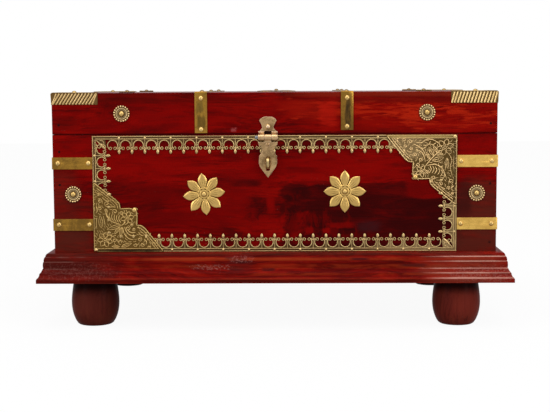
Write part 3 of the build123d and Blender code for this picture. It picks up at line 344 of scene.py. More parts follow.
outward = {"front": (0, 1, 0), "back": (0, -1, 0), "left": (1, 0, 0), "right": (-1, 0, 0)}
board_level = {
    "front": front_y + inner_face, "back": inner_face - back_y, "left": left_x + inner_face,
    "right": inner_face - right_x,
}
for number, (name, turn, flame, smoke, patches, side) in enumerate([
    ("case_front_board", along_x, 0.6, 0.62, front_patches, "front"),
    ("case_back_board", along_x, 0.5, 0.6, [], "back"),
    ("case_left_end", along_y, 0.5, 0.6, [], "left"),
    ("case_right_end", along_y, 0.5, 0.6, [], "right"),
    ("lid_front_board", along_x, 0.6, 0.65, lid_patches, "front"),
    ("lid_back_board", along_x, 0.5, 0.6, [], "back"),
    ("lid_left_end", along_y, 0.5, 0.6, [], "left"),
    ("lid_right_end", along_y, 0.5, 0.6, [], "right"),
]):
    inside = (outward[side], board_level[side])
    finish = lacquered(f"lacquer {name}", turn, 0.37 * number, flame, smoke, patches, inside)
    finish_node(name, finish)
top_inside = ((0, 0, -1), inner_face - lid_top)
top_finish = lacquered("lacquer lid_top_board", along_x, 4.1, 0.5, 0.45, [], top_inside, gloss=0.3)
finish_node("lid_top_board", top_finish)
panel_inside = ((0, 0, 1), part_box("case_floor")[0].z)
panel_finish = lacquered("lacquer case_floor", along_x, 5.3, 0.2, 0.4, [], panel_inside)
finish_node("case_floor", panel_finish)

# ---- Plinth ----
# Four runs of moulding are mitred round the foot of the case: a nose, two coves, a band, an ovolo
# and a shoulder. The lacquer is rubbed through to the wood on their edges, most of all at the right.
# Orange lines along the rounded members are painted highlights, and a dark line along the shoulder
# under the lace is painted shadow.

plinth_red = (0.15, 0.0028, 0.0014, 1)
# Painted highlight: the orange of the lines along the rounded members
member_highlight = (0.26, 0.024, 0.006, 1)
worn = (0.46, 0.23, 0.18, 1)
scuffed = (0.17, 0.075, 0.06, 1)
speckled = (0.32, 0.12, 0.1, 1)
fine_grain = (500, 500, 800)
plinth_face = -165
plinth_rows = [
    (-215, 64, 48, 32, (0.055, 0.006, 0.004, 1), 0.85, 0.3, 0.4, 0.3),
    # Painted highlight lines along the ovolo and the members below it
    (-40, 73, 105, 1.7, member_highlight, 0.95, 0.25, 0.3, 0.3),
    (140, 73, 85, 1.7, member_highlight, 0.7, 0.5, 0.4, 0.7),
    (60, 65.5, 190, 2.0, member_highlight, 0.6, 0.6, 0.4, 0.9),
    (20, 69.3, 230, 0.9, (0.03, 0.002, 0.001, 1), 0.3, 0.4, 0.4, 0.5),
    # Painted shadow along the shoulder, under the lace
    (-30, 77.8, 205, 1.3, (0.045, 0.01, 0.006, 1), 0.6, 0.3, 0.4, 0.4),
    # Painted highlight line along a rounded member
    (-20, 53.5, 200, 1.0, member_highlight, 0.35, 0.8, 0.4, 0.9),
    (-10, 51.2, 235, 1.7, (0.04, 0.003, 0.0015, 1), 0.75, 0.4, 0.5, 0.4),
    (-10, 48.2, 240, 0.9, (0.19, 0.045, 0.02, 1), 0.6, 0.3, 0.4, 0.4),
    # Painted highlight line along a rounded member
    (120, 58, 130, 1.2, member_highlight, 0.5, 0.8, 0.4, 0.9),
    (-38, 70, 12, 8, (0.03, 0.01, 0.01, 1), 0.75, 0.9, 0.4, 0.7),
    (-66, 65, 17, 2.2, speckled, 0.6, 1.2, 0.15, 2.2, fine_grain),
    (-34, 73, 10, 3, speckled, 0.45, 1.2, 0.15, 2.4, fine_grain),
    (-208, 61, 40, 8, speckled, 0.16, 1.0, 0.15, 4.0, fine_grain),
    (208, 62, 48, 15, (0.19, 0.035, 0.02, 1), 0.5, 0.6, 0.5, 0.6),
    (214, 58, 30, 7, speckled, 0.35, 1.0, 0.15, 2.4, fine_grain),
    (-6, 62.3, 6, 1.4, (0.02, 0.004, 0.005, 1), 0.8, 0.5, 0.4, 0.3),
    (88, 73, 10, 1.3, (0.02, 0.004, 0.008, 1), 0.8, 0.5, 0.4, 0.3),
    (142, 66.5, 13, 1.5, (0.03, 0.005, 0.006, 1), 0.7, 0.6, 0.4, 0.3),
]
for rise, depth in ((75.3, 0.5), (70.6, 0.5), (63.3, 0.55), (58.9, 0.5), (54.0, 0.7)):
    plinth_rows.append((212, rise, 46, depth, worn, 0.9, 0.3, 0.4, 0.5))
    plinth_rows.append((-222, rise, 26, depth, scuffed, 0.5, 0.9, 0.4, 1.2))
plinth_patches = on_face(plinth_face, plinth_rows)
for number, (side, turn, patches) in enumerate([
    ("front", along_x, plinth_patches), ("back", along_x, []),
    ("left", along_y, []), ("right", along_y, []),
]):
    finish = lacquered(f"plinth {side}", turn, 6.1 + 0.41 * number, 0.6, 0.5, patches, red=plinth_red)
    finish_node(f"plinth_{side}", finish)

# ---- Feet ----
# Four barrel-shaped feet are turned on a lathe with the grain upright, stained a darker brown-red
# than the case, and screwed up under the corners from inside.

foot_red = (0.092, 0.0145, 0.0095, 1)
worn_foot_red = (0.13, 0.0165, 0.011, 1)
foot_smoke = (0.06, 0.0095, 0.0065, 1)
# Painted shadow, for the feet's tops under the plinth and the back feet's bottoms
foot_painted_shadow = (0.006, 0.0006, 0.0006, 1)
# Painted highlights and shade on the front feet, by their place from the foot's middle, and their level
foot_painted_light = {
    "front_left": [
        ((-14, -25, 25), (13, 20, 12), (0.125, 0.021, 0.014, 1), 0.6, 0.2, 0.8, 0.2),
        ((24, -15, 30), (8, 30, 22), (0.045, 0.008, 0.005, 1), 0.6, 0.1, 0.8, 0.0),
    ],
    "front_right": [((7, -25, 26), (16, 20, 12), (0.19, 0.022, 0.014, 1), 0.5, 0.2, 0.8, 0.2)],
}
upright = (0, radians(90), 0)
for number, name in enumerate(("front_left", "front_right", "back_left", "back_right")):
    low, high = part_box(f"foot_{name}")
    heart = (low + high) / 2 / mm
    # Painted shadow, almost black, where the foot meets the plinth
    shade = [((heart.x, heart.y, high.z / mm), (70, 70, 12), foot_painted_shadow, 0.93, 0.12, 0.5, 0.0)]
    # The front feet take their painted highlights and shade
    stains = [((heart.x + x, heart.y + y, z), *rest) for (x, y, z), *rest in foot_painted_light.get(name, [])]
    # Painted shadow over the lowest part of the back feet, under the plinth
    if name.startswith("back"):
        shade.append(((heart.x, heart.y, 0), (70, 70, 9), foot_painted_shadow, 0.95, 0.1, 0.4, 0.0))
    red = worn_foot_red if name == "front_right" else foot_red
    finish = lacquered(
        f"foot {name}", upright, 9.2 + 0.6 * number, 0.12, 0.25, stains + shade, red=red, dark=foot_smoke,
    )
    finish_node(f"foot_{name}", finish)

# ---- Steel ----
# Screws, wood nails and pins are plain steel, dulled grey, and the wood nails are sunk level
# with the lacquer and tinted by it.


pit_relief, pit_depth = 0.2, 0.1


def steel(name, bright, dark):
    """Dulled steel with darker blotches."""
    material, tree, shader = new_finish(name, Metallic=1.0)
    blotch = noise(tree, object_place(tree), 420.0, 5.0)
    colour = blend(tree, ramp(tree, blotch, 0.35, 0.7), dark, bright)
    roughness = ramp(tree, blotch, 0.3, 0.8, 0.5, 0.3)
    surfaced(tree, shader, colour, roughness, blotch, pit_relief, pit_depth)
    return material


grey_steel = steel("grey steel", (0.4, 0.42, 0.45, 1), (0.14, 0.15, 0.17, 1))
sunk_steel = steel("sunk steel", (0.07, 0.012, 0.01, 1), (0.02, 0.004, 0.004, 1))
for name in ("foot_screws", "hinge_pins", "case_hinge_screws", "lid_hinge_screws", "hasp_pin"):
    finish_node(name, grey_steel)
for name in ("case_wood_nails", "lid_wood_nails"):
    finish_node(name, sunk_steel)

# ---- Hinges ----
# Two butt hinges of plain steel sheet rolled round a pin hold the lid at the back, let the
# lid stand open past upright, and are screwed flat to the boards.

hinge_finish = steel("hinge steel", (0.3, 0.285, 0.26, 1), (0.2, 0.18, 0.16, 1))
for side in ("left", "right"):
    for body in ("case", "lid"):
        finish_node(f"hinge_{side}_{body}_leaf", hinge_finish)

# ---- Brass straps ----
# Straps of sheet brass are bent round the corners of the case and over the lid, rubbed bright on the
# right and left to tarnish on the left.


def build_brass():
    """Aged sheet brass: blotches of tarnish, fine scratches and soft dents."""
    group, given = shader_group("aged brass", [
        ("Place", "Vector", None), ("Bright", "Color", (0.6, 0.4, 0.12, 1)),
        ("Dull", "Color", (0.3, 0.2, 0.08, 1)), ("Dirt", "Color", (0.06, 0.04, 0.02, 1)),
        ("Relief", "Float", 1.0), ("Tarnish", "Float", 0.5),
    ])
    place = given["Place"]
    blotch = noise(group, place, 75.0, 6.0, 0.65, 0.5)
    fine = noise(group, place, 900.0, 3.0, 0.6)
    scratch = noise(group, stretched(group, place, (300, 40, 2200)), 1.0, 2.0, 0.5)
    broad = noise(group, place, 28.0, 3.0, 0.6)
    dull = math(group, "ADD", math(group, "MULTIPLY", blotch, 0.6), math(group, "MULTIPLY", broad, 0.4))
    dull = ramp(group, math(group, "ADD", dull, math(group, "MULTIPLY", fine, 0.25)), 0.52, 0.74)
    dull = math(group, "MULTIPLY", dull, given["Tarnish"], True)
    colour = blend(group, dull, given["Bright"], given["Dull"])
    speckle = math(group, "MULTIPLY", ramp(group, fine, 0.55, 0.75), 0.25)
    colour = blend(group, speckle, colour, given["Dull"])
    # Dirt lies where the relief is low
    low = math(group, "ADD", given["Relief"], math(group, "MULTIPLY", blotch, 0.3))
    low = ramp(group, low, 0.85, 0.1)
    colour = blend(group, low, colour, given["Dirt"])
    rough = math(group, "ADD", math(group, "MULTIPLY", dull, 0.14), math(group, "MULTIPLY", low, 0.25))
    rough = math(group, "ADD", rough, 0.3)
    height = math(group, "MULTIPLY", blotch, 1.6)
    height = math(group, "ADD", height, math(group, "MULTIPLY", scratch, 0.12))
    height = math(group, "ADD", height, math(group, "MULTIPLY", fine, 0.1))
    return end_group(group, Color=colour, Roughness=rough, Height=height)


brass_sheet = build_brass()
dent_depth = 0.35


def brass(name, bright, dull, tarnish, dirt=None, dents=0.5, patches=()):
    """A brass finish. Where dirt has a colour, it darkens what the piece's relief attribute calls low."""
    material, tree, shader = new_finish(name, Metallic=1.0)
    place = object_place(tree)
    values = {"Place": place, "Bright": bright, "Dull": dull, "Tarnish": tarnish}
    if dirt:
        raised = node(tree, "ShaderNodeAttribute", attribute_name="relief").outputs["Fac"]
        values.update({"Dirt": dirt, "Relief": raised})
    metal = node(tree, "ShaderNodeGroup", values, node_tree=brass_sheet).outputs
    colour = patched(tree, place, metal["Color"], patches)
    surfaced(tree, shader, colour, metal["Roughness"], metal["Height"], dents, dent_depth)
    return material


def new_object(name, data):
    """An object in the scene."""
    made = bpy.data.objects.new(name, data)
    bpy.context.scene.collection.objects.link(made)
    return made


def clear_away(*objects):
    """Removes objects that only fed a modifier or a tree."""
    for made in objects:
        bpy.data.objects.remove(made)


def fitted(name, mesh, place, body, slot, *nodes):
    """A finished piece: its mesh brought to its place, riding on its body for its nodes."""
    mesh.transform(place)
    mesh.name = name
    made = new_object(name, mesh)
    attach(made, body)
    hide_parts(*nodes)


# Angles between faces in degrees: level below the first, rounded over the second, and over the third
# still an edge in the shading
flat_angle, hard_angle, sharp_angle = 1, 32, 40
joining_distance = 0.002


def evaluated_mesh(base):
    """The plain mesh that an object's modifiers make, and the object gone."""
    bpy.context.view_layer.update()
    mesh = bpy.data.meshes.new_from_object(base.evaluated_get(bpy.context.evaluated_depsgraph_get()))
    clear_away(base)
    return mesh


def softened(name, width, finish, slot, body, rim=None):
    """A piece's own shape with its hard edges rounded, and a painted highlight on the rounded faces where
    rim is given.
    """
    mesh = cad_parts[name].data.copy()
    form = bmesh.new()
    form.from_mesh(mesh)
    bmesh.ops.remove_doubles(form, verts=form.verts, dist=joining_distance * mm)
    bmesh.ops.dissolve_limit(form, angle_limit=radians(flat_angle), verts=form.verts, edges=form.edges)
    form.to_mesh(mesh)
    form.free()
    base = new_object("base", mesh)
    modifier = base.modifiers.new("rounding", "BEVEL")
    modifier.width = width * mm
    modifier.segments = 2
    modifier.limit_method = "ANGLE"
    modifier.angle_limit = radians(hard_angle)
    # The rounded faces take the second finish, a painted highlight
    if rim:
        mesh.materials.clear()
        mesh.materials.append(finish)
        mesh.materials.append(rim)
        modifier.material = 1
    finished = evaluated_mesh(base)
    if not rim:
        finished.materials.clear()
        finished.materials.append(finish)
    finished.polygons.foreach_set("use_smooth", [True] * len(finished.polygons))
    finished.set_sharp_from_angle(angle=radians(sharp_angle))
    fitted(f"soft_{name}", finished, Matrix(), body, slot, name)


dull_gold, dull_shade = (0.44, 0.235, 0.038, 1), (0.17, 0.09, 0.02, 1)
strap_bright = brass("strap bright", (0.98, 0.62, 0.15, 1), (0.52, 0.29, 0.06, 1), 0.7)
strap_dull = brass("strap dull", dull_gold, dull_shade, 0.85)
broken = (160, 160, 70)
smear = on_face(board_face, [(75.8, 222, 2.8, 14, (0.05, 0.03, 0.015, 1), 0.9, 0.7, 0.25, 0.3, broken)])
blotches = on_face(board_face, [
    (-74.5, 213, 4.4, 8, (0.13, 0.075, 0.018, 1), 0.85, 0.6, 0.25, 0.2, broken),
    (-76, 229, 3.6, 6, (0.16, 0.1, 0.025, 1), 0.75, 0.8, 0.3, 0.3, broken),
])
strap_smeared = brass("strap smeared", (0.36, 0.19, 0.032, 1), (0.15, 0.08, 0.018, 1), 0.85, patches=smear)
strap_blotched = brass("strap blotched", dull_gold, dull_shade, 0.85, patches=blotches)
strap_rounding = 0.35
for row in ("upper", "lower"):
    softened(f"strap_front_left_{row}", strap_rounding, strap_dull, "dull_brass", "case")
    softened(f"strap_front_right_{row}", strap_rounding, strap_bright, "bright_brass", "case")
softened("straps_back", strap_rounding, strap_dull, "dull_brass", "case")
softened("lid_strap_left", strap_rounding, strap_blotched, "dull_brass", "lid")
softened("lid_strap_right", strap_rounding, strap_smeared, "dull_brass", "lid")

# ---- Lace border ----
# Four strips of thin brass, pierced and pressed, frame the front: two rails with a dark gutter, a row
# of arches that end in scrolls, and a bud between each pair. Small pins hold them through the gutter.


def geometry_tree(name, inputs):
    """An empty geometry node tree with named inputs: (name, kind, default)."""
    tree = bpy.data.node_groups.new(name, "GeometryNodeTree")
    tree.interface.new_socket("Geometry", in_out="INPUT", socket_type="NodeSocketGeometry")
    for socket, kind, value in inputs:
        made = tree.interface.new_socket(socket, in_out="INPUT", socket_type="NodeSocket" + kind)
        if value is not None:
            made.default_value = value
    tree.interface.new_socket("Geometry", in_out="OUTPUT", socket_type="NodeSocketGeometry")
    return tree, tree.nodes.new("NodeGroupInput").outputs


def end_tree(tree, geometry, material):
    """Realize Instances, Set Material and the tree's output."""
    whole = node(tree, "GeometryNodeRealizeInstances", {"Geometry": geometry}).outputs[0]
    painted = node(tree, "GeometryNodeSetMaterial", {"Geometry": whole, "Material": material})
    out = tree.nodes.new("NodeGroupOutput")
    tree.links.new(painted.outputs[0], out.inputs["Geometry"])
    return tree


def joined(tree, *parts):
    """Several geometries as one."""
    join = tree.nodes.new("GeometryNodeJoinGeometry")
    for part in reversed(parts):
        tree.links.new(part, join.inputs[0])
    return join.outputs[0]


def build_embossed_line():
    """Ridges of elliptic section along polylines, on a sheet. A point's weight scales its ridge."""
    tree, given = geometry_tree("embossed line", [
        ("Width", "Float", 1.0 * mm), ("Height", "Float", 0.5 * mm), ("Sides", "Int", 8),
        ("Sheet", "Object", None), ("Material", "Material", None),
    ])
    curve = node(tree, "GeometryNodeMeshToCurve", {"Mesh": given["Geometry"]}).outputs[0]
    upright_curve = node(tree, "GeometryNodeSetCurveNormal", {"Curve": curve}, mode="Z_UP").outputs[0]
    weight = node(tree, "GeometryNodeInputNamedAttribute", {"Name": "weight"}, data_type="FLOAT").outputs[0]
    circle = node(
        tree, "GeometryNodeCurvePrimitiveCircle", {"Resolution": given["Sides"], "Radius": 1.0},
    ).outputs[0]
    size = node(
        tree, "ShaderNodeCombineXYZ",
        {0: math(tree, "MULTIPLY", given["Width"], 0.5), 1: given["Height"], 2: 1.0},
    ).outputs[0]
    section = node(tree, "GeometryNodeTransform", {"Geometry": circle, "Scale": size}).outputs[0]
    ridge = node(
        tree, "GeometryNodeCurveToMesh",
        {"Curve": upright_curve, "Profile Curve": section, "Scale": weight, "Fill Caps": True},
    ).outputs[0]
    point = node(tree, "GeometryNodeInputPosition").outputs[0]
    z = node(tree, "ShaderNodeSeparateXYZ", {0: point}).outputs[2]
    origin = node(tree, "GeometryNodeInputNamedAttribute", {"Name": "seat"}, data_type="FLOAT").outputs[0]
    lift = math(tree, "DIVIDE", math(tree, "SUBTRACT", z, origin), given["Height"], True)
    marked = node(
        tree, "GeometryNodeStoreNamedAttribute", {"Geometry": ridge, "Name": "relief", "Value": lift},
        data_type="FLOAT", domain="POINT",
    ).outputs[0]
    smooth = node(tree, "GeometryNodeSetShadeSmooth", {"Geometry": marked}).outputs[0]
    sheet = node(tree, "GeometryNodeObjectInfo", {"Object": given["Sheet"]}, transform_space="ORIGINAL")
    return end_tree(tree, joined(tree, smooth, sheet.outputs["Geometry"]), given["Material"])


embossed_line = build_embossed_line()


def made_by(tree, source, **values):
    """The plain mesh that a tree makes of a source mesh."""
    base = new_object("base", source)
    modifier = base.modifiers.new("tree", "NODES")
    modifier.node_group = tree
    named = {name.replace("_", " ").title(): value for name, value in values.items()}
    for item in tree.interface.items_tree:
        if item.item_type == "SOCKET" and item.in_out == "INPUT" and item.name in named:
            modifier[item.identifier] = named[item.name]
    return evaluated_mesh(base)


def drawn(paths, seat):
    """Polylines as loose edges, in metres: each path is (points in mm, closed, weight or weights)."""
    mesh = bpy.data.meshes.new("lines")
    points, edges, weights = [], [], []
    for path, closed, weight in paths:
        first = len(points)
        points += [(x * mm, y * mm, seat * mm) for x, y in path]
        edges += [(first + k, first + k + 1) for k in range(len(path) - 1)]
        if closed:
            edges.append((first + len(path) - 1, first))
        weights += [weight] * len(path) if isinstance(weight, (int, float)) else list(weight)
    mesh.from_pydata(points, edges, [])
    mesh.attributes.new("weight", "FLOAT", "POINT").data.foreach_set("value", weights)
    mesh.attributes.new("seat", "FLOAT", "POINT").data.foreach_set("value", [seat * mm] * len(points))
    return mesh


def slab(outline, low, high):
    """A flat sheet with a given outline in mm, between two levels."""
    form = bmesh.new()
    rings = [[form.verts.new((x * mm, y * mm, z * mm)) for x, y in outline] for z in (low, high)]
    form.faces.new(rings[1])
    form.faces.new(rings[0][::-1])
    count = len(outline)
    for k in range(count):
        form.faces.new((rings[0][k], rings[0][(k + 1) % count], rings[1][(k + 1) % count], rings[1][k]))
    bmesh.ops.recalc_face_normals(form, faces=form.faces)
    mesh = bpy.data.meshes.new("sheet")
    form.to_mesh(mesh)
    form.free()
    return mesh


def arc(x, y, radius, start, end, steps):
    """Points along an arc, angles in degrees."""
    angles = [radians(start + (end - start) * k / steps) for k in range(steps + 1)]
    return [(x + radius * cos(a), y + radius * sin(a)) for a in angles]


def spiral(x, y, radius, start, turns, inner, steps=12):
    """Points of a scroll that winds in from its outer end; turns below zero wind clockwise."""
    points = []
    for k in range(steps + 1):
        share = k / steps
        reach = radius * (1 - (1 - inner) * share)
        angle = radians(start + 360 * turns * share)
        points.append((x + reach * cos(angle), y + reach * sin(angle)))
    return points


lace_pitch = 13.3
arch_centre = 9.7
arch_radius = 5.2
scroll_centre = (2.5, 12.7)
scroll_radius = 1.5
wire_width, wire_height, wire_sides = 1.1, 0.42, 8
wire_seat = 0.42
rail_seat = rail_height = 0.4
outer_rail, inner_rail, gutter_width, spandrel_foot = 0.6, 3.2, 3.9, 3.8
sheet_back, spandrel_level, gutter_level = 0.02, 0.29, 0.3
level_arches, upright_arches = 26, 8
lace_patches = on_face(board_face, [
    (146, 85, 46, 9, (0.62, 0.43, 0.2, 1), 0.4, 0.4, 0.4, 0.3),
    (178, 122, 12, 34, (0.62, 0.43, 0.2, 1), 0.3, 0.4, 0.4, 0.4),
    (-68, 198.4, 24, 2.4, (0.12, 0.035, 0.016, 1), 0.45, 0.4, 0.4, 0.3),
])
antique = brass(
    "lace brass", (0.64, 0.45, 0.2, 1), (0.38, 0.25, 0.1, 1), 0.6, (0.1, 0.053, 0.021, 1),
    patches=lace_patches,
)

right_scroll = spiral(*scroll_centre, scroll_radius, 10, 1.05, 0.72)
left_scroll = [(-x, y) for x, y in right_scroll]
arch_line = arc(0, arch_centre, arch_radius, 142, 398, 18)[1:-1]
arch_wire = [*left_scroll[::-1], *arch_line, *right_scroll]
arch_weights = [0.75] * len(left_scroll) + [0.98] * len(arch_line) + [0.75] * len(right_scroll)
arch_paths = [(arch_wire, False, arch_weights)]
bud_paths = [
    ([(0, 3.4), (0, 10.5), (0, 13.2), (0, 14.6)], False, (0.65, 0.7, 1.0, 1.1)),
    ([(0, 13.9), (0, 14.7), (0, 16.3), (0, 17.8), (0, 18.7)], False, (1.1, 2.4, 3.2, 2.5, 0.7)),
    ([(0, 11.8), (-1.1, 12.7), (-2.0, 14.2)], False, (0.6, 1.0, 0.6)),
    ([(0, 11.8), (1.1, 12.7), (2.0, 14.2)], False, (0.6, 1.0, 0.6)),
]


def build_lace_row():
    """A strip's rails with arches along it and buds between them."""
    tree, given = geometry_tree("lace row", [
        ("Count", "Int", 8), ("Pitch", "Float", lace_pitch * mm), ("Arch", "Object", None),
        ("Bud", "Object", None), ("Material", "Material", None),
    ])
    parts = [given["Geometry"]]
    for motif, fewer in (("Arch", 0), ("Bud", 1)):
        count = math(tree, "SUBTRACT", given["Count"], float(fewer))
        run = math(tree, "MULTIPLY", math(tree, "SUBTRACT", count, 1.0), given["Pitch"])
        first = node(tree, "ShaderNodeCombineXYZ", {0: math(tree, "MULTIPLY", run, -0.5)}).outputs[0]
        step = node(tree, "ShaderNodeCombineXYZ", {0: given["Pitch"]}).outputs[0]
        line = node(
            tree, "GeometryNodeMeshLine", {"Count": count, "Start Location": first, "Offset": step},
        ).outputs[0]
        form = node(tree, "GeometryNodeObjectInfo", {"Object": given[motif]}, transform_space="ORIGINAL")
        parts.append(node(
            tree, "GeometryNodeInstanceOnPoints", {"Points": line, "Instance": form.outputs["Geometry"]},
        ).outputs[0])
    return end_tree(tree, joined(tree, *parts), given["Material"])


lace_row = build_lace_row()
spandrel = [
    (-lace_pitch / 2, spandrel_foot), (lace_pitch / 2, spandrel_foot),
    *arc(lace_pitch / 2, arch_centre, arch_radius, 270, 180, 6),
    *arc(-lace_pitch / 2, arch_centre, arch_radius, 0, -90, 6),
]


def wired(paths, width, height, seat, sheet, material):
    """Ridges on a sheet, as one mesh in metres."""
    base = new_object("sheet", sheet)
    mesh = made_by(
        embossed_line, drawn(paths, seat), width=width * mm, height=height * mm, sides=wire_sides,
        sheet=base, material=material,
    )
    clear_away(base)
    return mesh


def on_front(x, y, turn=0.0):
    """The front plane at a point in metres, x to the right and y up, z out of the wood."""
    stand = Matrix(((1, 0, 0, x), (0, 0, -1, front_y), (0, 1, 0, y), (0, 0, 0, 1)))
    return stand @ Matrix.Rotation(radians(turn), 4, "Z")


empty_sheet = bpy.data.meshes.new("nothing")
arch_form = new_object("arch", wired(arch_paths, wire_width, wire_height, wire_seat, empty_sheet, antique))
ground = slab(spandrel, sheet_back, spandrel_level)
bud_form = new_object("bud", wired(bud_paths, wire_width, wire_height, wire_seat, ground, antique))
lace_low, lace_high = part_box("lace_left")
lace_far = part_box("lace_right")[1].x
lace_middle = ((lace_low.x + lace_far) / 2, (lace_low.z + lace_high.z) / 2)
level_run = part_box("lace_top")[1].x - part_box("lace_top")[0].x
upright_run = lace_high.z - lace_low.z
# Where each strip's outer edge lies, how it is turned, its length and its arches
lace_edges = {
    "bottom": (lace_middle[0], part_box("lace_bottom")[0].z, 0, level_run, level_arches),
    "top": (lace_middle[0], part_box("lace_top")[1].z, 180, level_run, level_arches),
    "left": (lace_low.x, lace_middle[1], -90, upright_run, upright_arches),
    "right": (lace_far, lace_middle[1], 90, upright_run, upright_arches),
}


def corner_leaf(half):
    """A leaf on the mitre at a strip's far end, with a scroll on either side."""
    heel, tip = (half - 4.4, 4.4), (half - 14.2, 14.2)
    paths = [([heel, (half - 8.4, 8.4), (half - 11.2, 11.2), tip], False, (0.9, 1.3, 2.6, 0.6))]
    for flip in (False, True):
        scroll = [(8.0, 4.4), (11.4, 5.2), (12.6, 7.6), (11.2, 9.2), (9.9, 8.0)]
        paths.append(([(half - y, x) if flip else (half - x, y) for x, y in scroll], False, 0.85))
    return paths


for side, (x, y, turn, run, count) in lace_edges.items():
    half = run / mm / 2
    rails = [
        ([(-half, outer_rail), (half, outer_rail)], False, 0.85),
        ([(3.6 - half, inner_rail), (half - 3.6, inner_rail)], False, 0.85),
    ]
    if side in ("top", "bottom"):
        rails += corner_leaf(half)
    end = [(half - gutter_width, gutter_width)]
    if side in ("top", "bottom"):
        end += [(half - 12.8, 12.8), (half - 14.8, 9.7), (half - 13.6, gutter_width)]
    other_end = [(-along, up) for along, up in end[::-1]]
    gutter = slab([(-half, 0), (half, 0), *end, *other_end], sheet_back, gutter_level)
    strip = wired(rails, wire_width, rail_height, rail_seat, gutter, antique)
    strip = made_by(
        lace_row, strip, count=count, pitch=lace_pitch * mm, arch=arch_form, bud=bud_form, material=antique,
    )
    fitted(f"lace_strip_{side}", strip, on_front(x, y, turn), "case", "antique_brass", f"lace_{side}")
clear_away(arch_form, bud_form)

# ---- Corner plates ----
# Two plates of thin brass, pressed with a flower and scrolling leaves, cover two corners of the
# lace border. Each is nailed at its tip and pinned at its corner.

plate_seat = 0.8
plate_sheet = 0.5
plate_hem = 3.5
plate_face = -154
crease_width, crease_height = 1.05, 0.55
curve_steps = 4
nick_pitch, nick_clearance = 2.4, 1.55
plate_half_outline = [
    (72.3, 0), (72.3, 1.8), (54.5, 24.3), (53.2, 25.9), (50.8, 27.6), (48.3, 28.4), (45.6, 28.5),
    (46.0, 32.5), (46.1, 36.7), (45.6, 41.5), (45, 45),
]
plate_outline = [(0, 0), *plate_half_outline, *[(y, x) for x, y in plate_half_outline[-2::-1]]]
# A dark line along the gutter inside a plate's rim
plate_gutter_line = (0.02, 0.012, 0.007, 1)
plate_finishes = {
    "lower_left": brass(
        "plate lower left", (0.74, 0.5, 0.19, 1), (0.46, 0.285, 0.095, 1), 0.6, (0.15, 0.083, 0.021, 1),
        patches=on_face(plate_face, [
            (-151, 81.2, 40, 1.3, plate_gutter_line, 0.9, 0.2, 0.25, 0.3),
            (-178, 111, 12, 11, (0.14, 0.085, 0.026, 1), 0.35, 0.4, 0.4, 0.3),
        ]),
    ),
    "upper_right": brass(
        "plate upper right", (0.9, 0.62, 0.29, 1), (0.5, 0.325, 0.13, 1), 0.45, (0.1, 0.056, 0.015, 1),
        patches=on_face(plate_face, [
            (184.9, 164, 0.6, 33, plate_gutter_line, 0.8, 0.1, 0.4, 0.3),
            (150, 198.2, 34, 1.7, (0.5, 0.35, 0.12, 1), 0.7, 0.3, 0.3, 0.2),
            (136, 186, 17, 10, (1.0, 0.72, 0.36, 1), 0.22, 0.4, 0.4, 0.3),
            (179, 172, 10, 18, (0.13, 0.08, 0.025, 1), 0.35, 0.4, 0.4, 0.3),
        ]),
    ),
}


def smooth(points):
    """A curve through points, by Catmull and Rom."""
    row = [Vector(p) for p in (points[0], *points, points[-1])]
    curve = []
    for a, b, c, d in zip(row, row[1:], row[2:], row[3:]):
        bend, twist = 2 * a - 5 * b + 4 * c - d, 3 * b - a - 3 * c + d
        for t in (k / curve_steps for k in range(curve_steps)):
            curve.append(tuple(0.5 * (2 * b + (c - a) * t + bend * t * t + twist * t ** 3)))
    return [*curve, tuple(points[-1])]


def stroke(points, weight=1.0):
    """A smooth line that thins at both ends."""
    curve = smooth(points)
    last = len(curve) - 1
    return (curve, False, [weight * (0.45 + 0.55 * sin(pi * k / last) ** 0.5) for k in range(last + 1)])


def curl(x, y, radius, start, turns=-1.3):
    """A scroll that thickens at its heart."""
    curve = spiral(x, y, radius, start, turns, 0.22, 14)
    return (curve, False, [0.6 + 0.5 * k / (len(curve) - 1) for k in range(len(curve))])


def leaf(base, tip, width):
    """A leaf: both of its edges and its vein."""
    start, along = Vector(base), Vector(tip) - Vector(base)
    side = Vector((-along.y, along.x)).normalized() * width / 2
    edges = [
        [start, start + 0.3 * along + turn * side, start + 0.65 * along + turn * 0.9 * side, start + along]
        for turn in (1, -1)
    ]
    return [stroke(edges[0], 0.85), stroke(edges[1], 0.85), stroke([start, start + 0.75 * along], 0.8)]


def blossom(x, y, radius, petals, turn):
    """A small open flower of leaf-shaped petals round an eye."""
    paths = [(arc(x, y, radius * 0.16, 0, 360, 8)[:-1], True, 0.9)]
    for k in range(petals):
        angle = radians(turn + 360 * k / petals)
        way = Vector((cos(angle), sin(angle)))
        base = Vector((x, y)) + way * radius * 0.25
        paths += leaf(base, base + way * radius * 0.75, radius * 0.5)[:2]
    return paths


def borders():
    """The plate's raised rim, and two lines beside each slanted edge."""
    lines = (
        (0.9, [
            (71.4, 0.8), (71.2, 2.0), (53.9, 23.9), (50.6, 26.9), (47.4, 27.7), (44.9, 27.9), (45.3, 36.7),
            (44.6, 43.0),
        ]),
        (0.75, [(66.5, 4.0), (59.5, 13.0), (52.4, 21.8), (49.5, 24.6), (45.5, 25.6)]),
        (0.6, [(64.5, 3.2), (57.9, 11.6), (51.0, 20.0), (47.5, 23.2)]),
        (0.8, [(71, 0.7), (0.7, 0.7)]),
    )
    paths = [([p[::flip] for p in line], False, weight) for flip in (1, -1) for weight, line in lines]
    # A plain hem along the level edge
    return [*paths, ([(67.5, plate_hem), (3.4, plate_hem)], False, 0.7)]


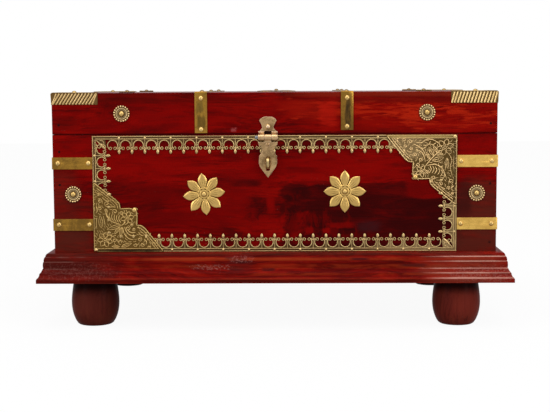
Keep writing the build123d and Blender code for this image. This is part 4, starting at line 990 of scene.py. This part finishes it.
lower_left_leaves = [
    *blossom(35.2, 35.4, 7.2, 6, 12), stroke([(33.5, 32), (31.5, 29.5), (29, 27.5)], 1.2),
    *leaf((29, 28), (13.8, 23.3), 3.6), *leaf((27.5, 26.5), (21.5, 18.5), 2.6),
    *leaf((29.5, 26.5), (27.5, 15), 2.6), stroke([(30.5, 26), (31.6, 19.5), (36, 14.2), (41.5, 12.6)]),
    stroke([(31.8, 26.5), (34.5, 20.5), (39, 17.0), (44.5, 17.4)]),
    stroke([(33.5, 26), (36.3, 21.8), (40, 20), (43.6, 20.6)]),
    stroke([(28, 29), (22.5, 30.4), (17.3, 33.2), (13.6, 38), (12.6, 43.5)], 1.1),
    *[
        stroke([(foot, 30.2 + lean), (foot - 2.2, 34 + lean), (foot - 1.4, 38.2 + lean)])
        for foot, lean in ((28.6, 0.3), (26.2, 0.6), (23.8, 1.0), (21.2, 1.8), (18.6, 3.0), (16.2, 5.2))
    ],
    curl(22.4, 42.2, 3.0, 250), curl(29.3, 40.2, 2.3, 200), curl(14.2, 50.4, 3.0, 300),
    curl(7, 45.6, 2.5, 60, 1.3), curl(35.7, 25.0, 2.7, 90), curl(41.6, 23.7, 1.8, 210, 1.2),
    curl(21.5, 12.4, 2.6, 120), curl(39.6, 28.2, 1.7, 90), *blossom(11.8, 13, 8.2, 7, 30),
    *leaf((8.2, 25), (7.0, 38.5), 3.8), stroke([(3.4, 24), (3.0, 30), (3.8, 36)]),
    stroke([(12.2, 27.5), (11.4, 32), (10.4, 37.5)]), stroke([(16.5, 18.5), (19.5, 16.2), (23.5, 17.8)]),
    stroke([(24.8, 13.4), (25.6, 9.8), (27.6, 12.6), (29, 9)]), *leaf((28.5, 5.2), (39.5, 9.2), 3.0),
    *leaf((27, 5.4), (18.5, 5.8), 1.8), curl(47.8, 13.2, 2.6, 100), curl(43.4, 7.4, 2.2, 160, 1.2),
    curl(50.6, 7.6, 2.4, 30), curl(57.3, 5.2, 2.0, 60), stroke([(46.6, 20.6), (48.8, 17.8), (51.6, 17)]),
    stroke([(52.2, 13.8), (54.8, 10.4), (54, 7.4)]), curl(13.2, 43.8, 1.7, 20), curl(6.9, 53.4, 2.5, 140),
    curl(5.6, 60.2, 1.9, 40), stroke([(9.8, 57), (12.4, 54), (16.6, 52.6)]),
    stroke([(17.2, 46.5), (20, 47.2), (23.4, 46.6)]), stroke([(2.8, 40.5), (4.2, 43), (3.2, 48)]),
]
upper_right_leaves = [
    *blossom(12.4, 13, 9.0, 6, 14), stroke([(17, 16.4), (22, 20.4), (27.5, 26), (32.5, 32.5)], 1.3),
    *leaf((24, 21.6), (29, 12.6), 3.4), *leaf((20.5, 18.6), (24.8, 10.8), 2.6),
    *leaf((27.6, 25.6), (31.8, 17.6), 2.2), *leaf((25.5, 26.8), (13.4, 23.6), 4.0),
    *leaf((21, 21), (16, 18.6), 2.2),
    stroke([(18.6, 9.4), (24.5, 5.4), (31.5, 5), (36.5, 8.4), (42, 8)], 1.1),
    stroke([(21.5, 8.2), (25, 10.4), (29.2, 9.0)]), stroke([(27, 6.6), (30.4, 10.8), (35, 10.8)]),
    stroke([(31.5, 12.2), (35, 14.2), (40, 12.6)]),
    stroke([(44.6, 9.4), (40, 12), (35, 16), (31.8, 22.5)], 1.1),
    stroke([(42, 15.2), (37, 17.4), (34, 22), (32.6, 28)]), curl(37.2, 25.4, 2.4, 250),
    curl(43.2, 20.6, 2.4, 60), curl(40.4, 31.2, 2.2, 100, 1.2), *blossom(36.4, 37.6, 6.4, 5, 30),
    curl(30.4, 38.6, 2.4, 40), curl(41.8, 41, 1.7, 200),
    stroke([(30.5, 31.8), (22, 30.6), (14.6, 36), (10.6, 46)], 1.2),
    *[
        stroke([(foot, 32 + lean), (foot - 1.6, 35.8 + lean), (foot + 0.6, 39.6 + lean)])
        for foot, lean in ((28, 0), (25.2, 0.1), (22.4, 0.7), (19.4, 1.7), (16.6, 3.4), (14.2, 6.2))
    ],
    curl(24.2, 44.6, 2.5, 60), curl(16.4, 50.6, 2.4, 30), curl(26.6, 48.2, 1.5, 60),
    curl(6.4, 48, 2.7, 100, 1.2), stroke([(8.6, 19.5), (5.4, 26.5), (7, 33.5), (4.6, 43)]),
    stroke([(3, 20.5), (3.6, 29.5), (2.8, 39.5)]), *leaf((10.6, 23.5), (9.4, 35.5), 2.4),
    stroke([(13, 27.5), (11.8, 33), (12.4, 37)]), curl(8.6, 55, 2.2, 30), curl(4.6, 60.6, 1.6, 40),
    stroke([(11.8, 56), (15.6, 54.4), (18.6, 52.2)]), stroke([(2.6, 52.6), (5.4, 54.6), (4.4, 58)]),
    curl(48.4, 7.2, 2.6, 60), curl(47.4, 14.4, 2.0, 120, 1.2), curl(54.6, 5.6, 2.2, 60),
    curl(53, 12, 1.9, 60), stroke([(58, 3.0), (61.6, 4.6), (60, 7.8)]),
    stroke([(46, 17.6), (49.4, 17.8), (51.6, 16)]), stroke([(19, 27.8), (15.8, 29.4)]),
]


def within(spot, outline):
    """Whether a point is inside an outline."""
    inside = False
    for (x0, y0), (x1, y1) in zip(outline, [*outline[1:], outline[0]]):
        if (y0 > spot.y) != (y1 > spot.y) and spot.x < x0 + (spot.y - y0) * (x1 - x0) / (y1 - y0):
            inside = not inside
    return inside


def infill(paths):
    """Small curved nicks wherever the leaves leave the ground of a plate bare."""
    taken = [Vector(p) for path, _, _ in paths for p in path]
    nicks = []
    count = int(plate_outline[1][0] / nick_pitch)
    for row in range(count):
        for column in range(count):
            spot = Vector(((column + 0.5 * (row % 2) + 0.7) * nick_pitch, (row + 0.7) * nick_pitch))
            if spot.y < plate_hem + 1 or not within(spot, plate_outline):
                continue
            if min((spot - p).length for p in taken) < nick_clearance:
                continue
            lean = 0.09 * spot.x - 0.13 * spot.y + 1.1
            way = Vector((cos(lean), sin(lean))) * nick_pitch * 0.75
            side = Vector((-way.y, way.x)) * 0.35
            nick = stroke([spot - way, spot + side, spot + way], 0.66)
            nicks.append(nick)
            taken += [Vector(p) for p in nick[0]]
    return nicks


for name, leaves, place in (
    ("lower_left", lower_left_leaves, on_front(lace_low.x, lace_low.z)),
    ("upper_right", upper_right_leaves, on_front(lace_far, lace_high.z, 180)),
):
    sheet = slab(plate_outline, plate_seat, plate_seat + plate_sheet)
    lines = [*borders(), *leaves]
    lines += infill(lines)
    mesh = wired(lines, crease_width, crease_height, plate_seat + plate_sheet, sheet, plate_finishes[name])
    fitted(f"pressed_plate_{name}", mesh, place, "case", "antique_brass", f"corner_plate_{name}")

# ---- Flowers ----
# Eight-petalled flowers of pressed brass sit in the field and on the lid. The petals are domed,
# with three short veins by the heart, and a nail holds each flower through a ringed boss.


def build_ring():
    """A motif repeated round Z. The motif is drawn at its own distance from the middle."""
    tree, given = geometry_tree("ring", [
        ("Count", "Int", 8), ("Motif", "Object", None), ("Material", "Material", None),
    ])
    line = node(
        tree, "GeometryNodeMeshLine", {"Count": given["Count"], "Offset": (0.0, 0.0, 0.0)},
    ).outputs[0]
    step = math(tree, "DIVIDE", 2 * pi, given["Count"])
    angle = math(tree, "MULTIPLY", tree.nodes.new("GeometryNodeInputIndex").outputs[0], step)
    turn = node(tree, "ShaderNodeCombineXYZ", {2: angle}).outputs[0]
    form = node(tree, "GeometryNodeObjectInfo", {"Object": given["Motif"]}, transform_space="ORIGINAL")
    ring = node(
        tree, "GeometryNodeInstanceOnPoints",
        {"Points": line, "Instance": form.outputs["Geometry"], "Rotation": turn},
    ).outputs[0]
    return end_tree(tree, joined(tree, given["Geometry"], ring), given["Material"])


ring_tree = build_ring()


def marked_mesh(form, name, relief):
    """A mesh of a bmesh, with a relief value per point."""
    bmesh.ops.recalc_face_normals(form, faces=form.faces)
    mesh = bpy.data.meshes.new(name)
    form.to_mesh(mesh)
    form.free()
    mesh.attributes.new("relief", "FLOAT", "POINT").data.foreach_set("value", relief)
    mesh.polygons.foreach_set("use_smooth", [True] * len(mesh.polygons))
    return mesh


turning_steps = 40
back_level = 0.05


def turned(profile):
    """A disc turned about Z from (radius, height, relief) points, out from the middle, in mm."""
    form = bmesh.new()
    relief, rings = [], []
    for radius, height, value in [*profile, (profile[-1][0], back_level, 0.0)]:
        count = 1 if radius == 0 else turning_steps
        reach, rise, turn = radius * mm, height * mm, 2 * pi / turning_steps
        rings.append([
            form.verts.new((reach * cos(turn * k), reach * sin(turn * k), rise)) for k in range(count)
        ])
        relief += [value] * count
    for inner, outer in zip(rings, rings[1:]):
        for k in range(turning_steps):
            following = (k + 1) % turning_steps
            if len(inner) == 1:
                form.faces.new((inner[0], outer[k], outer[following]))
            else:
                form.faces.new((inner[k], outer[k], outer[following], inner[following]))
    form.faces.new(rings[-1][::-1])
    return marked_mesh(form, "turned", relief)


petal_rows, petal_columns = 20, 18
petal_start, petal_end, petal_widest, petal_half_width = 3.0, 22.0, 14.2, 4.9
petal_lip, petal_dome, petal_fan = 0.3, 1.3, 0.41
vein_places = (-0.42, 0.0, 0.42)
vein_start, vein_run, vein_half_width, vein_depth = 6.5, 9.0, 0.15, 0.4


def around(grid):
    """The points round the edge of a grid of rows."""
    there, back = [row[0] for row in grid], [row[-1] for row in reversed(grid)]
    return there + grid[-1][1:-1] + back + grid[0][-2:0:-1]


def petal_form():
    """One domed petal along X, closed underneath."""
    form = bmesh.new()
    relief, top, under = [], [], []
    for level in (top, under):
        for row in range(petal_rows + 1):
            reach = petal_start + (petal_end - petal_start) * (row / petal_rows)
            taper = max(0.0, (reach - petal_widest) / (petal_end - petal_widest))
            half = min(petal_fan * reach, petal_half_width) * (1 - taper ** 1.9)
            line = []
            for column in range(petal_columns + 1):
                aside = 2 * column / petal_columns - 1
                dome = (1 - abs(aside) ** 2.4) * min(1.0, (reach - 2) / 6) * (1 - 0.55 * taper)
                vein = 0.0
                if vein_start < reach < vein_start + vein_run:
                    fade = sin(pi * (reach - vein_start) / vein_run) ** 0.5
                    away = [(aside - vein_at) / vein_half_width for vein_at in vein_places]
                    vein = fade * sum(max(0.0, 1 - share ** 2) for share in away)
                height = petal_lip + petal_dome * dome - vein_depth * vein if level is top else back_level
                line.append(form.verts.new((reach * mm, half * aside * mm, height * mm)))
                edge = 0.0 if abs(aside) > 0.85 and reach < petal_widest - 1 else 0.85
                relief.append(min(1.0, edge + 0.4 * dome) - 0.8 * vein)
            level.append(line)
    for level, flip in ((top, 1), (under, -1)):
        for low, high in zip(level, level[1:]):
            for k in range(petal_columns):
                corners = (low[k], high[k], high[k + 1], low[k + 1])
                form.faces.new(corners[::flip])
    rim, rim_under = around(top), around(under)
    for k in range(len(rim)):
        following = (k + 1) % len(rim)
        form.faces.new((rim[k], rim_under[k], rim_under[following], rim[following]))
    return marked_mesh(form, "petal", relief)


flower_finish = brass(
    "flower brass", (0.72, 0.47, 0.15, 1), (0.5, 0.3, 0.085, 1), 0.45, (0.14, 0.075, 0.02, 1),
)
flower_petals = 8
boss_profile = [
    (0, 1.3, 0.3), (2.9, 1.3, 0.2), (3.3, 1.3, 0.8), (4.2, 1.2, 0.8), (4.6, 0.95, 0.2), (5.1, 0.75, 0.0),
    (5.6, 0.9, 0.1), (6.0, 1.4, 1.0), (6.5, 1.35, 1.0), (7.2, 0.75, 0.8),
]


def flower_mesh(finish):
    """Eight petals round a ringed boss."""
    petal = new_object("petal", petal_form())
    mesh = made_by(ring_tree, turned(boss_profile), count=flower_petals, motif=petal, material=finish)
    clear_away(petal)
    return mesh


def on_top(x, y):
    """The lid's top at a point in metres."""
    return Matrix.Translation((x, y, lid_top))


def middle(name):
    """The middle of a carried-over piece."""
    low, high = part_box(name)
    return (low + high) / 2


flower_turns = {"left": 6.6, "right": 0.0}
for side, turn in flower_turns.items():
    heart = middle(f"flower_{side}")
    place = on_front(heart.x, heart.z, turn)
    fitted(f"petals_{side}", flower_mesh(flower_finish), place, "case", "flower_brass", f"flower_{side}")
shaded_brass = brass(
    "top brass", (0.34, 0.2, 0.08, 1), (0.16, 0.09, 0.035, 1), 0.7, (0.05, 0.03, 0.015, 1),
)
heart = middle("lid_top_flower")
place = on_top(heart.x, heart.y)
fitted("petals_lid", flower_mesh(shaded_brass), place, "lid", "flower_brass", "lid_top_flower")

# ---- Rosettes ----
# Small round rosettes of pressed brass have a ring of beads round a dark dished ring, and a
# dome-headed nail in the middle.

rosette_beads = 19
rosette_profile = [
    (0, 0.95, 0.1), (2.7, 0.95, 0.1), (3.1, 0.6, 0.0), (3.5, 0.5, 0.0), (3.9, 0.65, 0.35),
    (4.3, 0.6, 0.25), (4.7, 0.5, 0.0), (5.2, 0.8, 0.45), (5.7, 0.85, 0.6), (6.1, 0.6, 0.05),
    (7.6, 0.5, 0.0), (8.5, 0.45, 0.0),
]
bead_distance, bead_radius, bead_squash, bead_level = 7.55, 1.02, 0.9, 0.85
dirt_level, dirt_fade = 0.7, 0.4
rosette_finish = brass(
    "rosette brass", (0.84, 0.6, 0.3, 1), (0.5, 0.33, 0.14, 1), 0.3, (0.075, 0.042, 0.016, 1),
)


def bead_form():
    """One bead at its place in the ring, with dirt round its foot."""
    form = bmesh.new()
    bmesh.ops.create_uvsphere(form, u_segments=10, v_segments=6, radius=bead_radius * mm)
    for vert in form.verts:
        vert.co.x += bead_distance * mm
        vert.co.z = vert.co.z * bead_squash + bead_level * mm
    relief = [min(1.0, max(0.0, (vert.co.z / mm - dirt_level) / dirt_fade)) for vert in form.verts]
    return marked_mesh(form, "bead", relief)


def rosette_mesh(finish):
    """A dished disc with its ring of beads."""
    bead = new_object("bead", bead_form())
    mesh = made_by(ring_tree, turned(rosette_profile), count=rosette_beads, motif=bead, material=finish)
    clear_away(bead)
    return mesh


for body in ("case", "lid"):
    for side in ("left", "right"):
        name = f"{body}_{side}"
        heart = middle(f"rosette_{name}")
        place, mesh = on_front(heart.x, heart.z), rosette_mesh(rosette_finish)
        fitted(f"beaded_{name}", mesh, place, body, "flower_brass", f"rosette_{name}")


def merged(name, meshes):
    """Several meshes as one."""
    form = bmesh.new()
    for mesh in meshes:
        form.from_mesh(mesh)
    whole = bpy.data.meshes.new(name)
    form.to_mesh(whole)
    form.free()
    for material in meshes[0].materials:
        whole.materials.append(material)
    return whole


low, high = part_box("lid_top_rosettes")
reach = rosette_profile[-1][0] * mm
top_rosettes = []
for x in (low.x + reach, high.x - reach):
    for y in (low.y + reach, high.y - reach):
        mesh = rosette_mesh(shaded_brass)
        mesh.transform(on_top(x, y))
        top_rosettes.append(mesh)
top_rosettes = merged("rosettes", top_rosettes)
fitted("beaded_lid_top", top_rosettes, Matrix(), "lid", "flower_brass", "lid_top_rosettes")

# ---- Corner caps ----
# A cap of thin brass folds over each corner of the lid. Its edges down the front and the ends are
# pressed with a row of slanting ribs, and its top with a border and three spokes.

cap_reach, cap_drop, cap_sheet = 47.5, 12.0, 0.45
cap_ribs, rib_width, rib_height, rib_margin = 14, 1.9, 0.7, 0.7
hem_notch, border_width, border_height = 0.5, 1.3, 0.4
cap_lean, plain_lean = {"left": 33.0, "right": 18.0}, 20.0
cap_dirt = (0.15, 0.085, 0.028, 1)
cap_finishes = {
    "left": brass("cap left", (0.66, 0.45, 0.2, 1), (0.39, 0.25, 0.09, 1), 0.5, cap_dirt),
    "right": brass("cap right", (0.95, 0.68, 0.3, 1), (0.6, 0.38, 0.13, 1), 0.45, cap_dirt),
}
cap_top_outline = [(0, 0), (cap_reach, 0), (cap_reach, 7), (25, 25), (7, cap_reach), (0, cap_reach)]
cap_top_rim = [(1, 1), (46.5, 1), (46.5, 6.6), (24.4, 24.4), (6.6, 46.5), (1, 46.5)]


def cap_edge(lean, flip, finish):
    """A folded edge: out along X from the corner, down along Y, with ribs leaning towards +X or -X."""
    pitch = cap_reach / cap_ribs
    hem = []
    for k in range(cap_ribs):
        hem += [(cap_reach - k * pitch, cap_drop - hem_notch), (cap_reach - (k + 0.5) * pitch, cap_drop)]
    sheet = slab([(0, 0), (cap_reach, 0), *hem, (0, cap_drop - 0.3)], back_level, cap_sheet)
    rib_rise = cap_drop - 2 * hem_notch
    offset = rib_rise * tan(radians(lean)) / 2
    ribs = []
    for k in range(cap_ribs):
        middle_x = (k + 0.5) * pitch
        ends = sorted((middle_x + way * offset * flip, way) for way in (-1, 1))
        ribs.append(([
            (min(max(x, rib_margin), cap_reach - rib_margin), cap_drop / 2 + way * rib_rise / 2)
            for x, way in ends
        ], False, 1.0))
    return wired(ribs, rib_width, rib_height, cap_sheet, sheet, finish)


def cap_top(finish):
    """The part that lies on the lid, with its border and spokes."""
    paths = [(cap_top_rim, True, 0.8)]
    paths += [([(5, 5), tip], False, 1.0) for tip in ((40, 4.5), (20.5, 20.5), (4.5, 40))]
    sheet = slab(cap_top_outline, back_level, cap_sheet)
    return wired(paths, border_width, border_height, cap_sheet, sheet, finish)


for end, way_y in (("front", -1), ("back", 1)):
    for side, way_x in (("left", -1), ("right", 1)):
        corner = Vector((way_x * right_x, way_y * back_y, lid_top))
        inward_x, inward_y = Vector((-way_x, 0, 0)), Vector((0, -way_y, 0))
        outward_x, outward_y = Vector((way_x, 0, 0)), Vector((0, way_y, 0))
        down, rise = Vector((0, 0, -1)), Vector((0, 0, 1))
        parts = []
        finish = cap_finishes[side]
        lean = cap_lean[side] if end == "front" else plain_lean
        for mesh, axes in (
            (cap_edge(lean, way_x, finish), (inward_x, down, outward_y)),
            (cap_edge(plain_lean, 1, finish), (inward_y, down, outward_x)),
            (cap_top(finish), (inward_x, inward_y, rise)),
        ):
            turn = Matrix(axes).transposed().to_4x4()
            mesh.transform(Matrix.Translation(corner) @ turn)
            if turn.determinant() < 0:
                mesh.flip_normals()
            parts.append(mesh)
        name = f"corner_cap_{end}_{side}"
        fitted(f"ribbed_cap_{end}_{side}", merged(name, parts), Matrix(), "lid", "antique_brass", name)

# ---- Hasp ----
# A cast hasp hangs from a pin on the lid over a brass staple in the case. Its edges are filed round,
# it has gone dull, and the pin is steel. Its rounded edges and the top of its knuckle carry painted
# highlights.

hasp_rounding = 0.65
knuckle_face = -156
# Painted highlight along the top of the knuckle
knuckle_highlight = on_face(knuckle_face, [(-5.5, 198, 10, 5, (0.85, 0.58, 0.31, 1), 0.6, 0.3, 0.4, 0.3)])
hasp_finish = brass(
    "hasp brass", (0.6, 0.385, 0.185, 1), (0.19, 0.115, 0.05, 1), 0.9, patches=knuckle_highlight,
)
# Painted highlight for the hasp's rounded edges
hasp_edge_highlight = brass("hasp edge highlight", (1.0, 0.68, 0.48, 1), (0.8, 0.5, 0.32, 1), 0.3)
staple_finish = brass("staple brass", (0.6, 0.44, 0.2, 1), (0.3, 0.2, 0.08, 1), 0.7)
softened("hasp_upper_leaf", hasp_rounding, hasp_finish, "hasp_brass", "lid", hasp_edge_highlight)
softened("hasp_leaf", hasp_rounding, hasp_finish, "hasp_brass", "hasp", hasp_edge_highlight)
finish_node("hasp_staple", staple_finish)

# ---- Brass nails ----
# Dome-headed brass nails hold the straps, plates, flowers and rosettes. Handling keeps their
# crowns bright.

nail_crown, nail_shade, nail_dents = (0.66, 0.45, 0.16, 1), (0.42, 0.26, 0.08, 1), 0.2
nail_finish = brass("nail brass", nail_crown, nail_shade, 0.45, dents=nail_dents)
pin_finish = brass("pin brass", (0.7, 0.5, 0.22, 1), (0.45, 0.3, 0.12, 1), 0.4, dents=nail_dents)
# The nails on the lid's top are dark, and the hasp's own nail is pale
leaf_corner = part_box("hasp_upper_leaf")[0] / mm
hasp_nail = (leaf_corner.x + 10, leaf_corner.y, leaf_corner.z + 14)
lid_nail_patches = [
    ((0, 0, lid_top / mm + 3), (240, 170, 2.6), (0.17, 0.105, 0.05, 1), 0.85, 0.0, 0.2, 0.0),
    (hasp_nail, (6, 6, 7), (0.62, 0.45, 0.32, 1), 0.9, 0.0, 0.2, 0.0),
]
lid_nail_finish = brass(
    "lid nail brass", nail_crown, nail_shade, 0.45, dents=nail_dents, patches=lid_nail_patches,
)
finish_node("case_brass_nails", nail_finish)
finish_node("lid_brass_nails", lid_nail_finish)
finish_node("lace_pins", pin_finish)

# ---- Floor, light and camera ----
# The chest stands on a matt floor that looks near white, in a white surround. A broad soft light
# hangs over it, with one to each side.

floor_reach = 4
floor_mesh = bpy.data.meshes.new("floor")
floor_corners = [(x * floor_reach, y * floor_reach, 0) for x, y in ((-1, -1), (1, -1), (1, 1), (-1, 1))]
floor_mesh.from_pydata(floor_corners, [], [(0, 1, 2, 3)])
floor = new_object("floor", floor_mesh)


def looked_at(tree, path):
    """Whether a ray comes straight from the camera or through glass."""
    return math(tree, "MAXIMUM", path.outputs["Is Camera Ray"], path.outputs["Is Transmission Ray"])


floor_finish, tree, matt = new_finish(
    "floor", Base_Color=(0.35, 0.35, 0.35, 1), Roughness=0.9, Specular_IOR_Level=0.0,
)
path = tree.nodes.new("ShaderNodeLightPath")
glossy = math(tree, "MULTIPLY", path.outputs["Is Glossy Ray"], 0.5)
seen = math(tree, "MAXIMUM", looked_at(tree, path), glossy)
white = node(tree, "ShaderNodeEmission", {"Color": (1, 1, 1, 1), "Strength": 1.08})
mixed = node(
    tree, "ShaderNodeMixShader",
    {0: math(tree, "MULTIPLY", seen, 0.87), 1: matt.outputs[0], 2: white.outputs[0]},
)
tree.links.new(mixed.outputs[0], tree.nodes["Material Output"].inputs["Surface"])
floor_mesh.materials.append(floor_finish)

world = bpy.data.worlds.new("surround")
bpy.context.scene.world = world
world.use_nodes = True
tree = world.node_tree
background = tree.nodes["Background"]
seen = looked_at(tree, tree.nodes.new("ShaderNodeLightPath"))
way = node(tree, "ShaderNodeTexCoord").outputs["Generated"]
rise = node(tree, "ShaderNodeSeparateXYZ", {0: way}).outputs[2]
# The surround is dimmer below than above
heights = {"Value": rise, "From Min": -0.2, "From Max": 0.6, "To Min": 0.45, "To Max": 0.85}
glow = node(tree, "ShaderNodeMapRange", heights).outputs[0]
strength = node(tree, "ShaderNodeMix", {0: seen, 2: glow, 3: 1.0}).outputs[0]
tree.links.new(strength, background.inputs["Strength"])
background.inputs["Color"].default_value = (1, 1, 1, 1)


def softbox(name, place, target, width, height, power):
    """A broad rectangular light aimed at a point."""
    light = bpy.data.lights.new(name, "AREA")
    light.shape = "RECTANGLE"
    light.size = width
    light.size_y = height
    light.energy = power
    made = new_object(name, light)
    made.location = place
    made.rotation_euler = (Vector(target) - Vector(place)).to_track_quat("-Z", "Y").to_euler()


softbox("light over", (0, -0.5, 1.6), (0, 0, 0.1), 1.6, 1.2, 12)
softbox("light left", (-1.3, -1.2, 0.7), (0, -0.1, 0.12), 0.6, 1.2, 7)
softbox("light right", (1.3, -1.2, 0.7), (0, -0.1, 0.12), 0.6, 1.2, 9)

image_width = 550
focal_pixels = 1198.13
pitch, roll, yaw = radians(5.693), radians(-0.302), radians(-1.035)
camera_place = Vector((-2.18, -1383.21, 249.68)) * mm
ahead = Vector((0, cos(pitch), -sin(pitch)))
above = Vector((0, sin(pitch), cos(pitch)))
aside = Vector((1, 0, 0))
rolled_aside = cos(roll) * aside + sin(roll) * above
rolled_above = cos(roll) * above - sin(roll) * aside
axes = Matrix((rolled_aside, rolled_above, -ahead)).transposed().to_4x4()
camera_data = bpy.data.cameras.new("camera")
camera_data.sensor_width = 36
camera_data.lens = focal_pixels * camera_data.sensor_width / image_width
camera = new_object("camera", camera_data)
camera.matrix_world = Matrix.Rotation(-yaw, 4, "Z") @ Matrix.Translation(camera_place) @ axes
bpy.context.scene.camera = camera
bpy.context.scene.view_settings.view_transform = "Standard"
